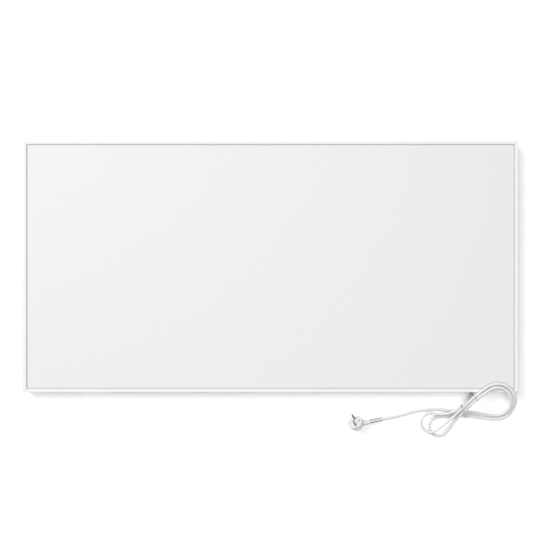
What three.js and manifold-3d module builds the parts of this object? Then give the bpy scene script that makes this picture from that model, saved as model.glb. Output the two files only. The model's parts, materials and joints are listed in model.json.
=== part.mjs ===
// An infrared panel heater, lying on its back with its cord bundled in front of it.
// Millimetres, +Z up: X runs along the panel's long side, Y up the panel as it hangs on a wall,
// and the heated face looks up. The origin is on the floor under the panel's middle.

import * as THREE from 'three';
import { mergeVertices } from 'three/addons/utils/BufferGeometryUtils.js';
import Module from 'manifold-3d';

const wasm = await Module();
wasm.setup();

const { degToRad, lerp, smootherstep } = THREE.MathUtils;

// ---------------------------------------------------------------- driving dimensions

// Gaps that every seat keeps.
const seat = 0.3; // between a piece and what carries it
const layerGap = 0.2; // between the thin layers behind the front plate

// The panel and its frame profile. The profile's parts are measured inward from the outer face.
const panelLength = 1200;
const panelHeight = 610;
const frameDepth = 22;
const frameWall = 1.4;
const lipWidth = 8.5;
const lipThickness = 1.4;
const shelfThickness = 1.2;
const chamberWidth = 6.9;
const chamberWall = 1.2;
const rearLipWidth = 14;
const rearLipThickness = 1.4;
const mitreGap = 0.2; // each rail end stands back from the mitre plane by this, along the rail

// The layers, front to back.
const sealThickness = 0.8;
const sealReveal = 2.5; // how much of the seal shows inside the lip
const plateThickness = 1;
const filmThickness = 0.8;
const filmMargin = 16; // film's edge from the panel's outer face
const foilThickness = 0.3;
const boardMargin = 0.6; // board and back plate from the frame's chamber
const backPlateThickness = 1;

// Corner keys.
const keyArm = 48;
const keyScrewFromCorner = 30;
const keyScrewReach = 9;

// Hanger brackets.
const bracketStandoff = 18; // wall to the frame's back
const bracketFromSide = 170; // bracket's middle from the panel's side
const bracketWidth = 56;
const bracketThickness = 1.5;
const bracketFlange = 12;
const bracketReach = 36; // wall face beyond the web
const bracketFromEdge = 1;
const bracketScrewSpacing = 32;
const bracketScrewReach = 6;
const keyholeRadius = 5;
const keyslotWidth = 5.5;
const keyslotLength = 11;

// Screws: the big ones hold frame and brackets, the small ones the junction box.
const screwRadius = 1.95;
const screwHeadRadius = 3.7;
const screwHeadHeight = 2.2;
const smallScrewRadius = 1.45;
const smallHeadRadius = 2.7;
const smallHeadHeight = 1.5;
const screwClearance = 0.3;

// Junction box, placed from the panel's lower right corner.
const boxFromSide = 100; // its middle, and the cord's exit
const boxFromEdge = 70; // its entry wall
const boxLength = 96;
const boxWidth = 68;
const boxWall = 2;
const boxRoof = 2;
const boxCover = 1.9;
const boxFloorGap = 2; // cover above the wall or floor
const postRadius = 3.6;
const entryHeight = 10.5; // cord's axis above the floor in the box wall
const passageLength = 28; // opening for the leads, through box roof, back plate and board
const passageWidth = 9;
const boxScrewFromEnd = 16;

// Inside the box.
const tabSize = 9;
const tabThickness = 0.5;
const tabSpacing = 15;
const terminalLength = 30;
const terminalWidth = 17;
const terminalHeight = 9;
const terminalPitch = 9;
const cutoutLength = 17;
const cutoutWidth = 8;
const cutoutHeight = 5;
const cutoutFromWall = 4;
const terminalGap = 2; // between terminal block and cut-out
const clampLength = 26;
const clampWidth = 8;
const clampThickness = 3.2;
const clampScrewOffset = 9.5;
const clampFromWall = 13;
const sheathEnd = 21; // inside the entry wall
const coreRadius = 1.1;
const coreSpread = 1.9;

// Cord sleeve, the tapered strain relief in the box wall.
const sleeveLength = 34;
const sleeveRadius = 6.1;
const sleeveTipRadius = 4.7;
const sleeveGrooveRadius = 5.2;
const sleeveLipLength = 2.2;

// Cord, plug and ties.
const cordDiameter = 7;
const cordGap = 0.3; // where one stretch of cord meets the next
const plugRimRadius = 18.7;
const plugRimLength = 9;
const plugBackRadius = 15.8;
const plugLength = 25.6;
const plugPitch = 46; // degrees, the face looks up by this
const plugTurn = 30; // degrees, the lie of the plug's side before it is rolled, from X
const plugRoll = 16; // degrees about the plug's axis, which lifts the side where the cord leaves
const plugFromCord = [-70, -6]; // face's middle from the cord's end
const plugFloorGap = 0.1;
const reliefDepth = 16; // relief's middle behind the face
const reliefRoot = 6; // where it starts inside the body, from the plug's axis
const reliefTipRadius = 4.9;
const reliefRootRadius = 7.1;
const pinRadius = 2.4;
const pinReach = 19;
const pinSeat = 8; // pin's length inside the body
const pinSpacing = 19;
const earthHoleOffset = 10;
const earthHoleDepth = 7.5;
const stripWidth = 5;
const stripThickness = 0.8;
const stripDepth = 10; // strip's bar behind the face
const grooveDepth = 2.1;
const tieWidth = 3;
const tieThickness = 0.7;
const tieTail = 12;
const tieClearance = 0.4;

// ---------------------------------------------------------------- heights that follow

const frameBack = bracketStandoff;
const frontHeight = frameBack + frameDepth;
const rearLipTop = frameBack + rearLipThickness;
const sealTop = frontHeight - lipThickness - layerGap;
const plateTop = sealTop - sealThickness - layerGap;
const plateBottom = plateTop - plateThickness;
const shelfTop = plateBottom - layerGap;
const shelfBottom = shelfTop - shelfThickness;
const filmTop = plateBottom - layerGap;
const filmBottom = filmTop - filmThickness;
const foilTop = filmBottom - layerGap;
const boardTop = foilTop - foilThickness - layerGap;
const backPlateBottom = rearLipTop + layerGap;
const backPlateTop = backPlateBottom + backPlateThickness;
const boardBottom = backPlateTop + seat;
const chamberOuter = frameWall;
const chamberInner = frameWall + chamberWidth;
const profileInner = chamberInner + chamberWall;
const chamberMiddle = (chamberOuter + chamberInner) / 2;
const insetEdge = profileInner + boardMargin;
const boxTop = backPlateBottom - seat;
const roofUnderside = boxTop - boxRoof;
const coverTop = boxFloorGap + boxCover;
const boxBottom = coverTop + seat;
const cordRadius = cordDiameter / 2;
const cordRest = cordRadius + 0.1; // cord's axis when it lies on the floor

// ---------------------------------------------------------------- looks

const looks = {
  enamel: { color: 0xe9e9e8, roughness: 0.55, metalness: 0 },
  powderCoat: { color: 0xf7f7f7, roughness: 0.45, metalness: 0 },
  seal: { color: 0xa9abac, roughness: 0.8, metalness: 0 },
  film: { color: 0x2e2c2b, roughness: 0.7, metalness: 0 },
  copper: { color: 0xb87347, roughness: 0.35, metalness: 1 },
  foil: { color: 0xd8dadb, roughness: 0.3, metalness: 1 },
  board: { color: 0xe3ddca, roughness: 0.95, metalness: 0 },
  zinc: { color: 0xb9bdbf, roughness: 0.4, metalness: 1 },
  blackPlastic: { color: 0x262728, roughness: 0.5, metalness: 0 },
  whitePlastic: { color: 0xf1f1ef, roughness: 0.45, metalness: 0 },
  cord: { color: 0xf2f2f1, roughness: 0.5, metalness: 0 },
  nickel: { color: 0xc6c4bd, roughness: 0.25, metalness: 1 },
  brown: { color: 0x6b4028, roughness: 0.5, metalness: 0 },
  blue: { color: 0x2f5f9e, roughness: 0.5, metalness: 0 },
  earth: { color: 0x6d9b35, roughness: 0.5, metalness: 0 },
  tie: { color: 0x3b3c3e, roughness: 0.6, metalness: 0 },
};

// ---------------------------------------------------------------- helpers

const heater = new THREE.Group();
const cornerGroup = new THREE.Group(); // everything placed from the lower right corner
cornerGroup.position.set(panelLength / 2, -panelHeight / 2, 0);
heater.add(cornerGroup);

function add(parent, name, geometry, look) {
  geometry.computeVertexNormals();
  const mesh = new THREE.Mesh(geometry, new THREE.MeshStandardMaterial(looks[look]));
  mesh.name = name;
  parent.add(mesh);
  return mesh;
}

// Merges a geometry's shared vertices, drops its empty triangles and turns its faces outward.
function welded(geometry) {
  const bare = new THREE.BufferGeometry();
  bare.setAttribute('position', geometry.getAttribute('position').clone());
  if (geometry.index) bare.setIndex(geometry.index.clone());
  const merged = mergeVertices(bare, 1e-4);
  const at = merged.getAttribute('position');
  const [a, b, c] = [new THREE.Vector3(), new THREE.Vector3(), new THREE.Vector3()];
  const kept = [];
  let volume = 0;
  for (let i = 0; i < merged.index.count; i += 3) {
    const [p, q, r] = [0, 1, 2].map((k) => merged.index.getX(i + k));
    if (p === q || q === r || r === p) continue;
    kept.push([p, q, r]);
    volume += a.fromBufferAttribute(at, p).dot(
      b.fromBufferAttribute(at, q).cross(c.fromBufferAttribute(at, r)));
  }
  const order = volume < 0 ? ([p, q, r]) => [p, r, q] : (triangle) => triangle;
  merged.setIndex(kept.flatMap(order));
  return merged;
}

function toSolid(geometry) {
  const closed = welded(geometry);
  return new wasm.Manifold(new wasm.Mesh({
    numProp: 3,
    vertProperties: closed.getAttribute('position').array,
    triVerts: Uint32Array.from(closed.index.array),
  }));
}

function toGeometry(solid) {
  const mesh = solid.getMesh();
  const geometry = new THREE.BufferGeometry();
  geometry.setAttribute('position', new THREE.BufferAttribute(mesh.vertProperties, 3));
  geometry.setIndex(new THREE.BufferAttribute(mesh.triVerts, 1));
  return geometry;
}

const cut = (body, ...tools) => toGeometry(
  tools.reduce((rest, tool) => rest.subtract(toSolid(tool)), toSolid(body)));

const joined = (...bodies) => toGeometry(
  bodies.map(toSolid).reduce((whole, piece) => whole.add(piece)));

// A block between two opposite corners.
function block(low, high) {
  const size = high.map((value, k) => value - low[k]);
  return new THREE.BoxGeometry(...size)
    .translate(...high.map((value, k) => (value + low[k]) / 2));
}

// An upright rod, from one height to another.
function rod(radius, x, y, bottom, top, sides = 16) {
  return new THREE.CylinderGeometry(radius, radius, top - bottom, sides)
    .rotateX(Math.PI / 2)
    .translate(x, y, (top + bottom) / 2);
}

// A rod along Y at a height.
function rodAlongY(radius, x, z, from, to, sides = 16) {
  return new THREE.CylinderGeometry(radius, radius, to - from, sides)
    .translate(x, (from + to) / 2, z);
}

function rectangle(left, bottom, right, top, Kind = THREE.Shape) {
  const outline = new Kind();
  outline.moveTo(left, bottom);
  outline.lineTo(right, bottom);
  outline.lineTo(right, top);
  outline.lineTo(left, top);
  outline.closePath();
  return outline;
}

function roundHole(x, y, radius) {
  return new THREE.Path().absarc(x, y, radius, 0, Math.PI * 2, true);
}

// A flat outline given thickness, standing on a height.
function slab(shape, bottom, top, curveSegments = 6) {
  return new THREE.ExtrudeGeometry(shape, { depth: top - bottom, bevelEnabled: false, curveSegments })
    .translate(0, 0, bottom);
}

// A turned body about +Z, its profile given as [radius, height] pairs.
function turned(profile, segments) {
  return new THREE.LatheGeometry(profile.map(([r, z]) => new THREE.Vector2(r, z)), segments)
    .rotateX(Math.PI / 2);
}

// A pan-head screw, its head's seat at height 0 and its tip up.
function screw(radius, headRadius, headHeight, length) {
  return welded(turned([
    [0, -headHeight],
    [headRadius * 0.7, -headHeight],
    [headRadius, -headHeight * 0.45],
    [headRadius, 0],
    [radius, 0],
    [radius, length - radius * 0.6],
    [0, length],
  ], 12));
}

// Rings of a number of sides round a line of points, each with its own radius, and flat ends.
function tube(points, radii, sides) {
  const last = points.length - 1;
  const tangents = points.map((_, i) => points[Math.min(i + 1, last)].clone()
    .sub(points[Math.max(i - 1, 0)]).normalize());
  let normal = new THREE.Vector3(0, 0, 1).projectOnPlane(tangents[0]).normalize();
  const positions = [];
  points.forEach((point, i) => {
    normal = normal.projectOnPlane(tangents[i]).normalize();
    const across = new THREE.Vector3().crossVectors(tangents[i], normal);
    for (let k = 0; k < sides; k += 1) {
      const turn = (2 * Math.PI * k) / sides;
      positions.push(...point.clone()
        .addScaledVector(normal, radii[i] * Math.cos(turn))
        .addScaledVector(across, radii[i] * Math.sin(turn)).toArray());
    }
  });
  positions.push(...points[0].toArray(), ...points[last].toArray());
  const index = [];
  for (let k = 0; k < sides; k += 1) {
    const next = (k + 1) % sides;
    for (let i = 0; i < last; i += 1) {
      const [a, b] = [i * sides + k, i * sides + next];
      index.push(a, b, b + sides, a, b + sides, a + sides);
    }
    index.push(points.length * sides, next, k);
    index.push(points.length * sides + 1, last * sides + k, last * sides + next);
  }
  const geometry = new THREE.BufferGeometry();
  geometry.setAttribute('position', new THREE.Float32BufferAttribute(positions, 3));
  geometry.setIndex(index);
  return welded(geometry);
}

// ---------------------------------------------------------------- frame

// The rail's section, x inward from the outer face and y the height: a lip over the seal,
// a slot for plate and seal, a closed chamber for the corner keys, and a lip behind the back plate.
function railSection() {
  const section = new THREE.Shape();
  section.moveTo(0, frameBack);
  section.lineTo(rearLipWidth, frameBack);
  section.lineTo(rearLipWidth, rearLipTop);
  section.lineTo(profileInner, rearLipTop);
  section.lineTo(profileInner, shelfTop);
  section.lineTo(frameWall, shelfTop);
  section.lineTo(frameWall, frontHeight - lipThickness);
  section.lineTo(lipWidth, frontHeight - lipThickness);
  section.lineTo(lipWidth, frontHeight - 0.4);
  section.lineTo(lipWidth - 0.4, frontHeight);
  section.absarc(1.2, frontHeight - 1.2, 1.2, Math.PI / 2, Math.PI, false);
  section.closePath();
  section.holes.push(rectangle(chamberOuter, rearLipTop, chamberInner, shelfBottom, THREE.Path));
  return section;
}

const keyScrewHeight = frameBack - seat;
const bracketFlangeTop = frameBack - seat;
const bracketFlangeBottom = bracketFlangeTop - bracketThickness;

// A rail lies along X with its outer face at y = 0; its ends are cut to the mitre.
function rail(length, screwPlaces) {
  const bar = new THREE.ExtrudeGeometry(railSection(), {
    depth: 1, steps: 1, bevelEnabled: false, curveSegments: 3,
  });
  const at = bar.getAttribute('position');
  for (let i = 0; i < at.count; i += 1) {
    const [inward, height, end] = [at.getX(i), at.getY(i), at.getZ(i)];
    const along = (end > 0.5 ? 1 : -1) * (length / 2 - inward - mitreGap);
    at.setXYZ(i, along, inward, height);
  }
  const holes = screwPlaces.map((x) => rod(
    screwRadius + screwClearance, x, chamberMiddle, frameBack - 1, rearLipTop + 1, 12));
  return cut(bar, ...holes);
}

const sides = [
  { name: 'bottom', turn: 0, length: panelLength, across: panelHeight },
  { name: 'right', turn: 1, length: panelHeight, across: panelLength },
  { name: 'top', turn: 2, length: panelLength, across: panelHeight },
  { name: 'left', turn: 3, length: panelHeight, across: panelLength },
];

const bracketMiddle = panelLength / 2 - bracketFromSide;
const bracketScrewPlaces = [-1, 1].flatMap((side) => [-1, 1].map(
  (end) => side * bracketMiddle + (end * bracketScrewSpacing) / 2));

function addFrame() {
  const chamberFloor = rearLipTop + seat;
  const chamberRoof = shelfBottom - seat;
  const [outer, inner] = [chamberOuter + seat, chamberInner - seat];
  sides.forEach(({ name, turn, length, across }) => {
    const side = new THREE.Group();
    side.rotation.z = (turn * Math.PI) / 2;
    heater.add(side);

    const cornerScrew = keyScrewFromCorner - length / 2;
    const carriesBrackets = turn % 2 === 0;
    const places = carriesBrackets ? [cornerScrew, ...bracketScrewPlaces] : [cornerScrew];
    add(side, `frame_${name}`, rail(length, places), 'powderCoat').position.y = -across / 2;

    // The key in the corner where this rail begins, and the screw that holds rail and key.
    const key = new THREE.Shape();
    key.moveTo(outer, outer);
    key.lineTo(keyArm, outer);
    key.lineTo(keyArm, inner);
    key.lineTo(inner, inner);
    key.lineTo(inner, keyArm);
    key.lineTo(outer, keyArm);
    key.closePath();
    key.holes.push(roundHole(keyScrewFromCorner, chamberMiddle, screwRadius + screwClearance));
    const keyMesh = add(side, `corner_key_${name}`, slab(key, chamberFloor, chamberRoof, 4), 'zinc');
    keyMesh.position.set(-length / 2, -across / 2, 0);

    const keyScrew = screw(screwRadius, screwHeadRadius, screwHeadHeight,
      rearLipThickness + seat * 2 + keyScrewReach);
    add(side, `corner_screw_${name}`, keyScrew, 'zinc')
      .position.set(cornerScrew, chamberMiddle - across / 2, keyScrewHeight);
  });
}

// ---------------------------------------------------------------- the layers of the panel

const passageMiddle = boxFromEdge + boxWidth - boxWall - 2 - passageWidth / 2;

// A rectangle about the panel's middle with its edges a margin in from the frame's outer face.
function layerOutline(margin, Kind) {
  return rectangle(margin - panelLength / 2, margin - panelHeight / 2,
    panelLength / 2 - margin, panelHeight / 2 - margin, Kind);
}

// The opening for the leads, a little wider in each layer that lies further in.
function passageHole(extra) {
  const x = panelLength / 2 - boxFromSide;
  const y = passageMiddle - panelHeight / 2;
  const [halfLength, halfWidth] = [passageLength / 2 + extra, passageWidth / 2 + extra];
  return rectangle(x - halfLength, y - halfWidth, x + halfLength, y + halfWidth, THREE.Path);
}

const boxScrewPlaces = [-1, 1].map((side) => [
  side * (boxLength / 2 - boxScrewFromEnd), boxFromEdge + boxWidth / 2,
]);
const earthScrewPlace = [boxLength / 2 - 12, boxFromEdge + boxWidth - 12];

function addLayers() {
  const seal = layerOutline(frameWall + seat);
  seal.holes.push(layerOutline(lipWidth + sealReveal, THREE.Path));
  add(heater, 'front_seal', slab(seal, sealTop - sealThickness, sealTop), 'seal');

  const plate = layerOutline(frameWall + seat);
  add(heater, 'front_plate', slab(plate, plateBottom, plateTop), 'enamel');

  add(heater, 'heating_film', slab(layerOutline(filmMargin), filmBottom, filmTop), 'film');

  const foil = layerOutline(insetEdge);
  foil.holes.push(passageHole(2));
  add(heater, 'reflector_foil', slab(foil, foilTop - foilThickness, foilTop), 'foil');

  const board = layerOutline(insetEdge);
  board.holes.push(passageHole(1));
  add(heater, 'insulation_board', slab(board, boardBottom, boardTop), 'board');

  const back = layerOutline(insetEdge);
  back.holes.push(passageHole(0));
  [...boxScrewPlaces, earthScrewPlace].forEach(([x, y]) => back.holes.push(roundHole(
    panelLength / 2 - boxFromSide + x, y - panelHeight / 2, smallScrewRadius + screwClearance)));
  add(heater, 'back_plate', slab(back, backPlateBottom, backPlateTop, 3), 'zinc');
}

// ---------------------------------------------------------------- hanger brackets

// One bracket, its middle at x = 0 and the frame's outer face at y = 0. The keyhole's slot
// runs up the wall, which is inward on a lower bracket and outward on an upper one.
function bracket(slotUp) {
  const t = bracketThickness;
  const webInner = bracketFromEdge + bracketFlange;
  const bend = t; // inside radius of the folds, and twice it outside
  const section = new THREE.Shape();
  section.moveTo(bracketFromEdge, bracketFlangeBottom);
  section.lineTo(webInner - t - bend, bracketFlangeBottom);
  section.absarc(webInner - t - bend, bracketFlangeBottom - bend, bend, Math.PI / 2, 0, true);
  section.absarc(webInner + bend, t + bend, t + bend, Math.PI, Math.PI * 1.5, false);
  section.lineTo(webInner + bracketReach, 0);
  section.lineTo(webInner + bracketReach, t);
  section.absarc(webInner + bend, t + bend, bend, Math.PI * 1.5, Math.PI, true);
  section.absarc(webInner - t - bend, bracketFlangeBottom - bend, t + bend, 0, Math.PI / 2, false);
  section.lineTo(bracketFromEdge, bracketFlangeTop);
  section.closePath();
  const strip = new THREE.ExtrudeGeometry(section, {
    depth: bracketWidth, bevelEnabled: false, curveSegments: 3,
  });
  const at = strip.getAttribute('position');
  for (let i = 0; i < at.count; i += 1) {
    at.setXYZ(i, at.getZ(i) - bracketWidth / 2, at.getX(i), at.getY(i));
  }
  const holeY = keyholePlace(slotUp);
  const slotEnd = holeY + slotUp * keyslotLength;
  const tools = [-1, 1].map((end) => rod(screwRadius + screwClearance,
    (end * bracketScrewSpacing) / 2, chamberMiddle, bracketFlangeBottom - 1, bracketFlangeTop + 1, 12));
  tools.push(rod(keyholeRadius, 0, holeY, -1, t + 1, 20));
  tools.push(rod(keyslotWidth / 2, 0, slotEnd, -1, t + 1, 16));
  tools.push(block([-keyslotWidth / 2, Math.min(holeY, slotEnd), -1],
    [keyslotWidth / 2, Math.max(holeY, slotEnd), t + 1]));
  return cut(strip, ...tools);
}

// The keyhole's round end, set so that hole and slot lie about the wall face's middle.
function keyholePlace(slotUp) {
  const faceMiddle = bracketFromEdge + bracketFlange + bracketThickness + bracketReach / 2;
  return faceMiddle - (slotUp * keyslotLength) / 2;
}

function addBrackets() {
  [['lower', 0, 1], ['upper', 1, -1]].forEach(([row, turn, slotUp]) => {
    const edge = new THREE.Group();
    edge.rotation.z = turn * Math.PI;
    heater.add(edge);
    [-1, 1].forEach((end) => {
      const column = end * (turn ? -1 : 1) < 0 ? 'left' : 'right';
      add(edge, `hanger_bracket_${row}_${column}`, bracket(slotUp), 'zinc')
        .position.set(end * bracketMiddle, -panelHeight / 2, 0);
      [-1, 1].forEach((hand) => {
        const length = bracketThickness + rearLipThickness + seat * 2 + bracketScrewReach;
        const number = hand * (turn ? -1 : 1) < 0 ? 1 : 2;
        add(edge, `bracket_screw_${row}_${column}_${number}`,
          screw(screwRadius, screwHeadRadius, screwHeadHeight, length), 'zinc')
          .position.set(end * bracketMiddle + (hand * bracketScrewSpacing) / 2,
            chamberMiddle - panelHeight / 2, bracketFlangeBottom - seat);
      });
    });
  });
}

// ---------------------------------------------------------------- junction box

const boxLeft = -boxLength / 2;
const boxRight = boxLength / 2;
const boxFar = boxFromEdge + boxWidth;
const postPlaces = [
  [boxLeft + boxWall + postRadius + 0.5, boxFar - boxWall - postRadius - 0.5],
  [boxRight - boxWall - postRadius - 0.5, boxFromEdge + boxWall + postRadius + 0.5],
];
const clampMiddle = boxFromEdge + boxWall + clampFromWall;
const clampTop = entryHeight - 1;
const clampBottom = clampTop - clampThickness;
const cutoutNear = boxFar - boxWall - cutoutFromWall - cutoutWidth;
const terminalFar = cutoutNear - terminalGap;
const terminalNear = terminalFar - terminalWidth;
const terminalTop = roofUnderside - seat;
const terminalBottom = terminalTop - terminalHeight;
const boreHeight = terminalTop - 4.5;
const coreBore = coreRadius + 0.4;

function roundedOutline(left, bottom, right, top, radius) {
  const outline = new THREE.Shape();
  outline.absarc(right - radius, top - radius, radius, 0, Math.PI / 2);
  outline.absarc(left + radius, top - radius, radius, Math.PI / 2, Math.PI);
  outline.absarc(left + radius, bottom + radius, radius, Math.PI, Math.PI * 1.5);
  outline.absarc(right - radius, bottom + radius, radius, Math.PI * 1.5, Math.PI * 2);
  outline.closePath();
  return outline;
}

// The box opens towards the wall; its roof lies on the back plate.
function boxShell() {
  const outside = slab(roundedOutline(boxLeft, boxFromEdge, boxRight, boxFar, 5), boxBottom, boxTop, 3);
  const inside = slab(roundedOutline(boxLeft + boxWall, boxFromEdge + boxWall,
    boxRight - boxWall, boxFar - boxWall, 3), boxBottom - 1, roofUnderside, 3);
  const posts = postPlaces.map(([x, y]) => rod(postRadius, x, y, boxBottom, roofUnderside + 0.5, 12));
  const clampPosts = [-1, 1].map((side) => rod(3, side * clampScrewOffset, clampMiddle,
    clampTop + seat, roofUnderside + 0.5, 12));
  const saddle = block([-5.5, clampMiddle - clampWidth / 2, entryHeight + 1.5],
    [5.5, clampMiddle + clampWidth / 2, roofUnderside + 0.5]);
  const hollow = cut(outside, inside);
  const body = joined(hollow, ...posts, ...clampPosts, saddle);
  return cut(body,
    ...postPlaces.map(([x, y]) => rod(smallScrewRadius + screwClearance, x, y, boxBottom - 1,
      roofUnderside - 1, 10)),
    ...[-1, 1].map((side) => rod(smallScrewRadius + screwClearance, side * clampScrewOffset,
      clampMiddle, clampTop - 1, roofUnderside - 1, 10)),
    ...[...boxScrewPlaces, earthScrewPlace].map(([x, y]) => rod(smallScrewRadius + screwClearance,
      x, y, roofUnderside - 1, boxTop + 1, 10)),
    block([-passageLength / 2, passageMiddle - passageWidth / 2, roofUnderside - 1],
      [passageLength / 2, passageMiddle + passageWidth / 2, boxTop + 1]),
    rodAlongY(sleeveGrooveRadius + seat, 0, entryHeight, boxFromEdge - 1, boxFromEdge + boxWall + 1, 20),
    rodAlongY(cordRadius + seat, 0, entryHeight, clampMiddle - clampWidth, clampMiddle + clampWidth, 16),
  );
}

// The sleeve: a lip each side of the box wall, then a long taper along the cord.
function sleeve() {
  const bore = cordRadius + seat;
  const profile = [
    [bore, sleeveLipLength + boxWall + seat],
    [sleeveRadius, sleeveLipLength + boxWall + seat],
    [sleeveRadius, boxWall + seat],
    [sleeveGrooveRadius, boxWall + seat],
    [sleeveGrooveRadius, -seat],
    [sleeveRadius, -seat],
    [sleeveRadius, -seat - sleeveLipLength],
    [sleeveRadius - 0.6, -seat - sleeveLipLength - 2],
    [sleeveTipRadius, -sleeveLength],
    [bore, -sleeveLength],
    [bore, sleeveLipLength + boxWall + seat],
  ];
  return welded(turned(profile, 18)).rotateX(-Math.PI / 2);
}

// A flexible core or lead along a few points.
function wire(points, radius = coreRadius) {
  const path = new THREE.CatmullRomCurve3(points.map((p) => new THREE.Vector3(...p)));
  const section = new THREE.Shape().absarc(0, 0, radius, 0, Math.PI * 2);
  return new THREE.ExtrudeGeometry(section, { extrudePath: path, steps: 12, curveSegments: 3 });
}

function addJunctionBox() {
  const box = new THREE.Group();
  box.position.x = -boxFromSide;
  cornerGroup.add(box);
  add(box, 'junction_box', boxShell(), 'whitePlastic');

  const cover = slab(roundedOutline(boxLeft, boxFromEdge, boxRight, boxFar, 5),
    boxFloorGap, coverTop, 3);
  add(box, 'junction_box_cover', cut(cover, ...postPlaces.map(([x, y]) => rod(
    smallScrewRadius + screwClearance, x, y, boxFloorGap - 1, coverTop + 1, 10))), 'whitePlastic');
  postPlaces.forEach(([x, y], i) => {
    add(box, `cover_screw_${i + 1}`, screw(smallScrewRadius, smallHeadRadius, boxFloorGap - 0.5,
      boxCover + seat * 2 + 7), 'zinc').position.set(x, y, boxFloorGap - seat);
  });
  boxScrewPlaces.forEach(([x, y], i) => {
    add(box, `box_screw_${i + 1}`, screw(smallScrewRadius, smallHeadRadius, smallHeadHeight,
      backPlateTop - roofUnderside + seat), 'zinc').position.set(x, y, roofUnderside - seat);
  });
  add(box, 'earth_screw', screw(smallScrewRadius, smallHeadRadius, smallHeadHeight,
    backPlateTop - roofUnderside + seat), 'copper').position.set(...earthScrewPlace, roofUnderside - seat);

  add(box, 'cord_sleeve', sleeve(), 'whitePlastic').position.set(0, boxFromEdge, entryHeight);

  // Cord clamp and its screws.
  const bar = block([-clampLength / 2, clampMiddle - clampWidth / 2, clampBottom],
    [clampLength / 2, clampMiddle + clampWidth / 2, clampTop]);
  add(box, 'cord_clamp', cut(bar,
    rodAlongY(cordRadius + 0.2, 0, entryHeight, clampMiddle - clampWidth, clampMiddle + clampWidth, 16),
    ...[-1, 1].map((side) => rod(smallScrewRadius + screwClearance, side * clampScrewOffset,
      clampMiddle, clampBottom - 1, clampTop + 1, 10))), 'blackPlastic');
  [-1, 1].forEach((side, i) => {
    add(box, `clamp_screw_${i + 1}`, screw(smallScrewRadius, smallHeadRadius, smallHeadHeight,
      clampThickness + seat * 2 + 4), 'zinc')
      .position.set(side * clampScrewOffset, clampMiddle, clampBottom - seat);
  });

  // Terminal block with a bore for each core and each lead.
  const poles = [-1, 0, 1].map((side) => side * terminalPitch);
  const boreDepth = 6;
  const terminal = cut(
    block([-terminalLength / 2, terminalNear, terminalBottom], [terminalLength / 2, terminalFar, terminalTop]),
    ...poles.map((x) => rodAlongY(coreBore, x, boreHeight, terminalNear - 1, terminalNear + boreDepth, 10)),
    ...poles.map((x) => rodAlongY(coreBore, x, boreHeight, terminalFar - boreDepth, terminalFar + 1, 10)),
    ...poles.map((x) => rod(2, x, terminalNear + 3.5, terminalBottom - 1, terminalBottom + 2, 10)),
    ...poles.map((x) => rod(2, x, terminalFar - 3.5, terminalBottom - 1, terminalBottom + 2, 10)),
  );
  add(box, 'terminal_block', terminal, 'blackPlastic');

  // The cord's cores, from the end of its sheath to the terminals.
  const sheath = boxFromEdge + boxWall + sheathEnd + cordGap;
  const spread = [[-coreSpread * 0.87, 0.95], [0, -1.9], [coreSpread * 0.87, 0.95]];
  ['live', 'earth', 'neutral'].forEach((name, i) => {
    const [dx, dz] = spread[i];
    add(box, `core_${name}`, welded(wire([
      [dx, sheath, entryHeight + dz],
      [dx, sheath + 2.5, entryHeight + dz],
      [poles[i], terminalNear - 3.5, boreHeight],
      [poles[i], terminalNear, boreHeight],
      [poles[i], terminalNear + boreDepth - 0.6, boreHeight],
    ])), ['brown', 'earth', 'blue'][i]);
  });

  // The overheat cut-out plugs into the live terminal, and the leads go up to the film.
  const cutoutTop = roofUnderside - seat;
  const cutoutEnd = poles[0] - coreRadius - 3;
  const cutout = joined(
    block([cutoutEnd - cutoutLength, cutoutNear, cutoutTop - cutoutHeight],
      [cutoutEnd, cutoutNear + cutoutWidth, cutoutTop]),
    rodAlongY(coreRadius, poles[0], boreHeight, terminalFar - boreDepth + 0.6, cutoutNear + 1.5, 10),
    block([cutoutEnd - 1, cutoutNear + 0.4, boreHeight - coreRadius],
      [poles[0] + coreRadius, cutoutNear + 2.6, boreHeight + coreRadius]),
  );
  add(box, 'overheat_cutout', cutout, 'blackPlastic');
  const tabHeight = filmBottom - layerGap - tabThickness;
  const leadTop = tabHeight - seat;
  const [tabLive, tabNeutral] = [-tabSpacing / 2, tabSpacing / 2];
  [['live', tabLive], ['neutral', tabNeutral]].forEach(([name, x]) => {
    add(box, `contact_tab_${name}`, block(
      [x - tabSize / 2, passageMiddle - tabSize / 2, tabHeight],
      [x + tabSize / 2, passageMiddle + tabSize / 2, tabHeight + tabThickness]), 'copper');
  });
  const leadStart = cutoutTop - cutoutHeight / 2;
  add(box, 'lead_live', welded(wire([
    [cutoutEnd + seat, passageMiddle, leadStart],
    [cutoutEnd + seat + 1.8, passageMiddle, leadStart],
    [tabLive, passageMiddle, leadStart + 5],
    [tabLive, passageMiddle, (leadStart + leadTop) / 2],
    [tabLive, passageMiddle, leadTop],
  ])), 'brown');
  add(box, 'lead_neutral', welded(wire([
    [poles[2], terminalFar - boreDepth + 0.6, boreHeight],
    [poles[2], terminalFar, boreHeight],
    [poles[2], terminalFar + 2.5, boreHeight],
    [tabNeutral, passageMiddle, backPlateTop],
    [tabNeutral, passageMiddle, leadTop],
  ])), 'blue');
  const [earthX, earthY] = earthScrewPlace;
  add(box, 'lead_earth', welded(wire([
    [poles[1], terminalFar - boreDepth + 0.6, boreHeight],
    [poles[1], terminalFar, boreHeight],
    [poles[1], terminalFar + 2.5, boreHeight],
    [poles[1] + 12, terminalFar + 5, boreHeight - 4.5],
    [earthX - 9, earthY - 3, roofUnderside - 2.2],
    [earthX - smallHeadRadius - seat, earthY, roofUnderside - 1.8],
  ])), 'earth');
}

// ---------------------------------------------------------------- cord

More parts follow.
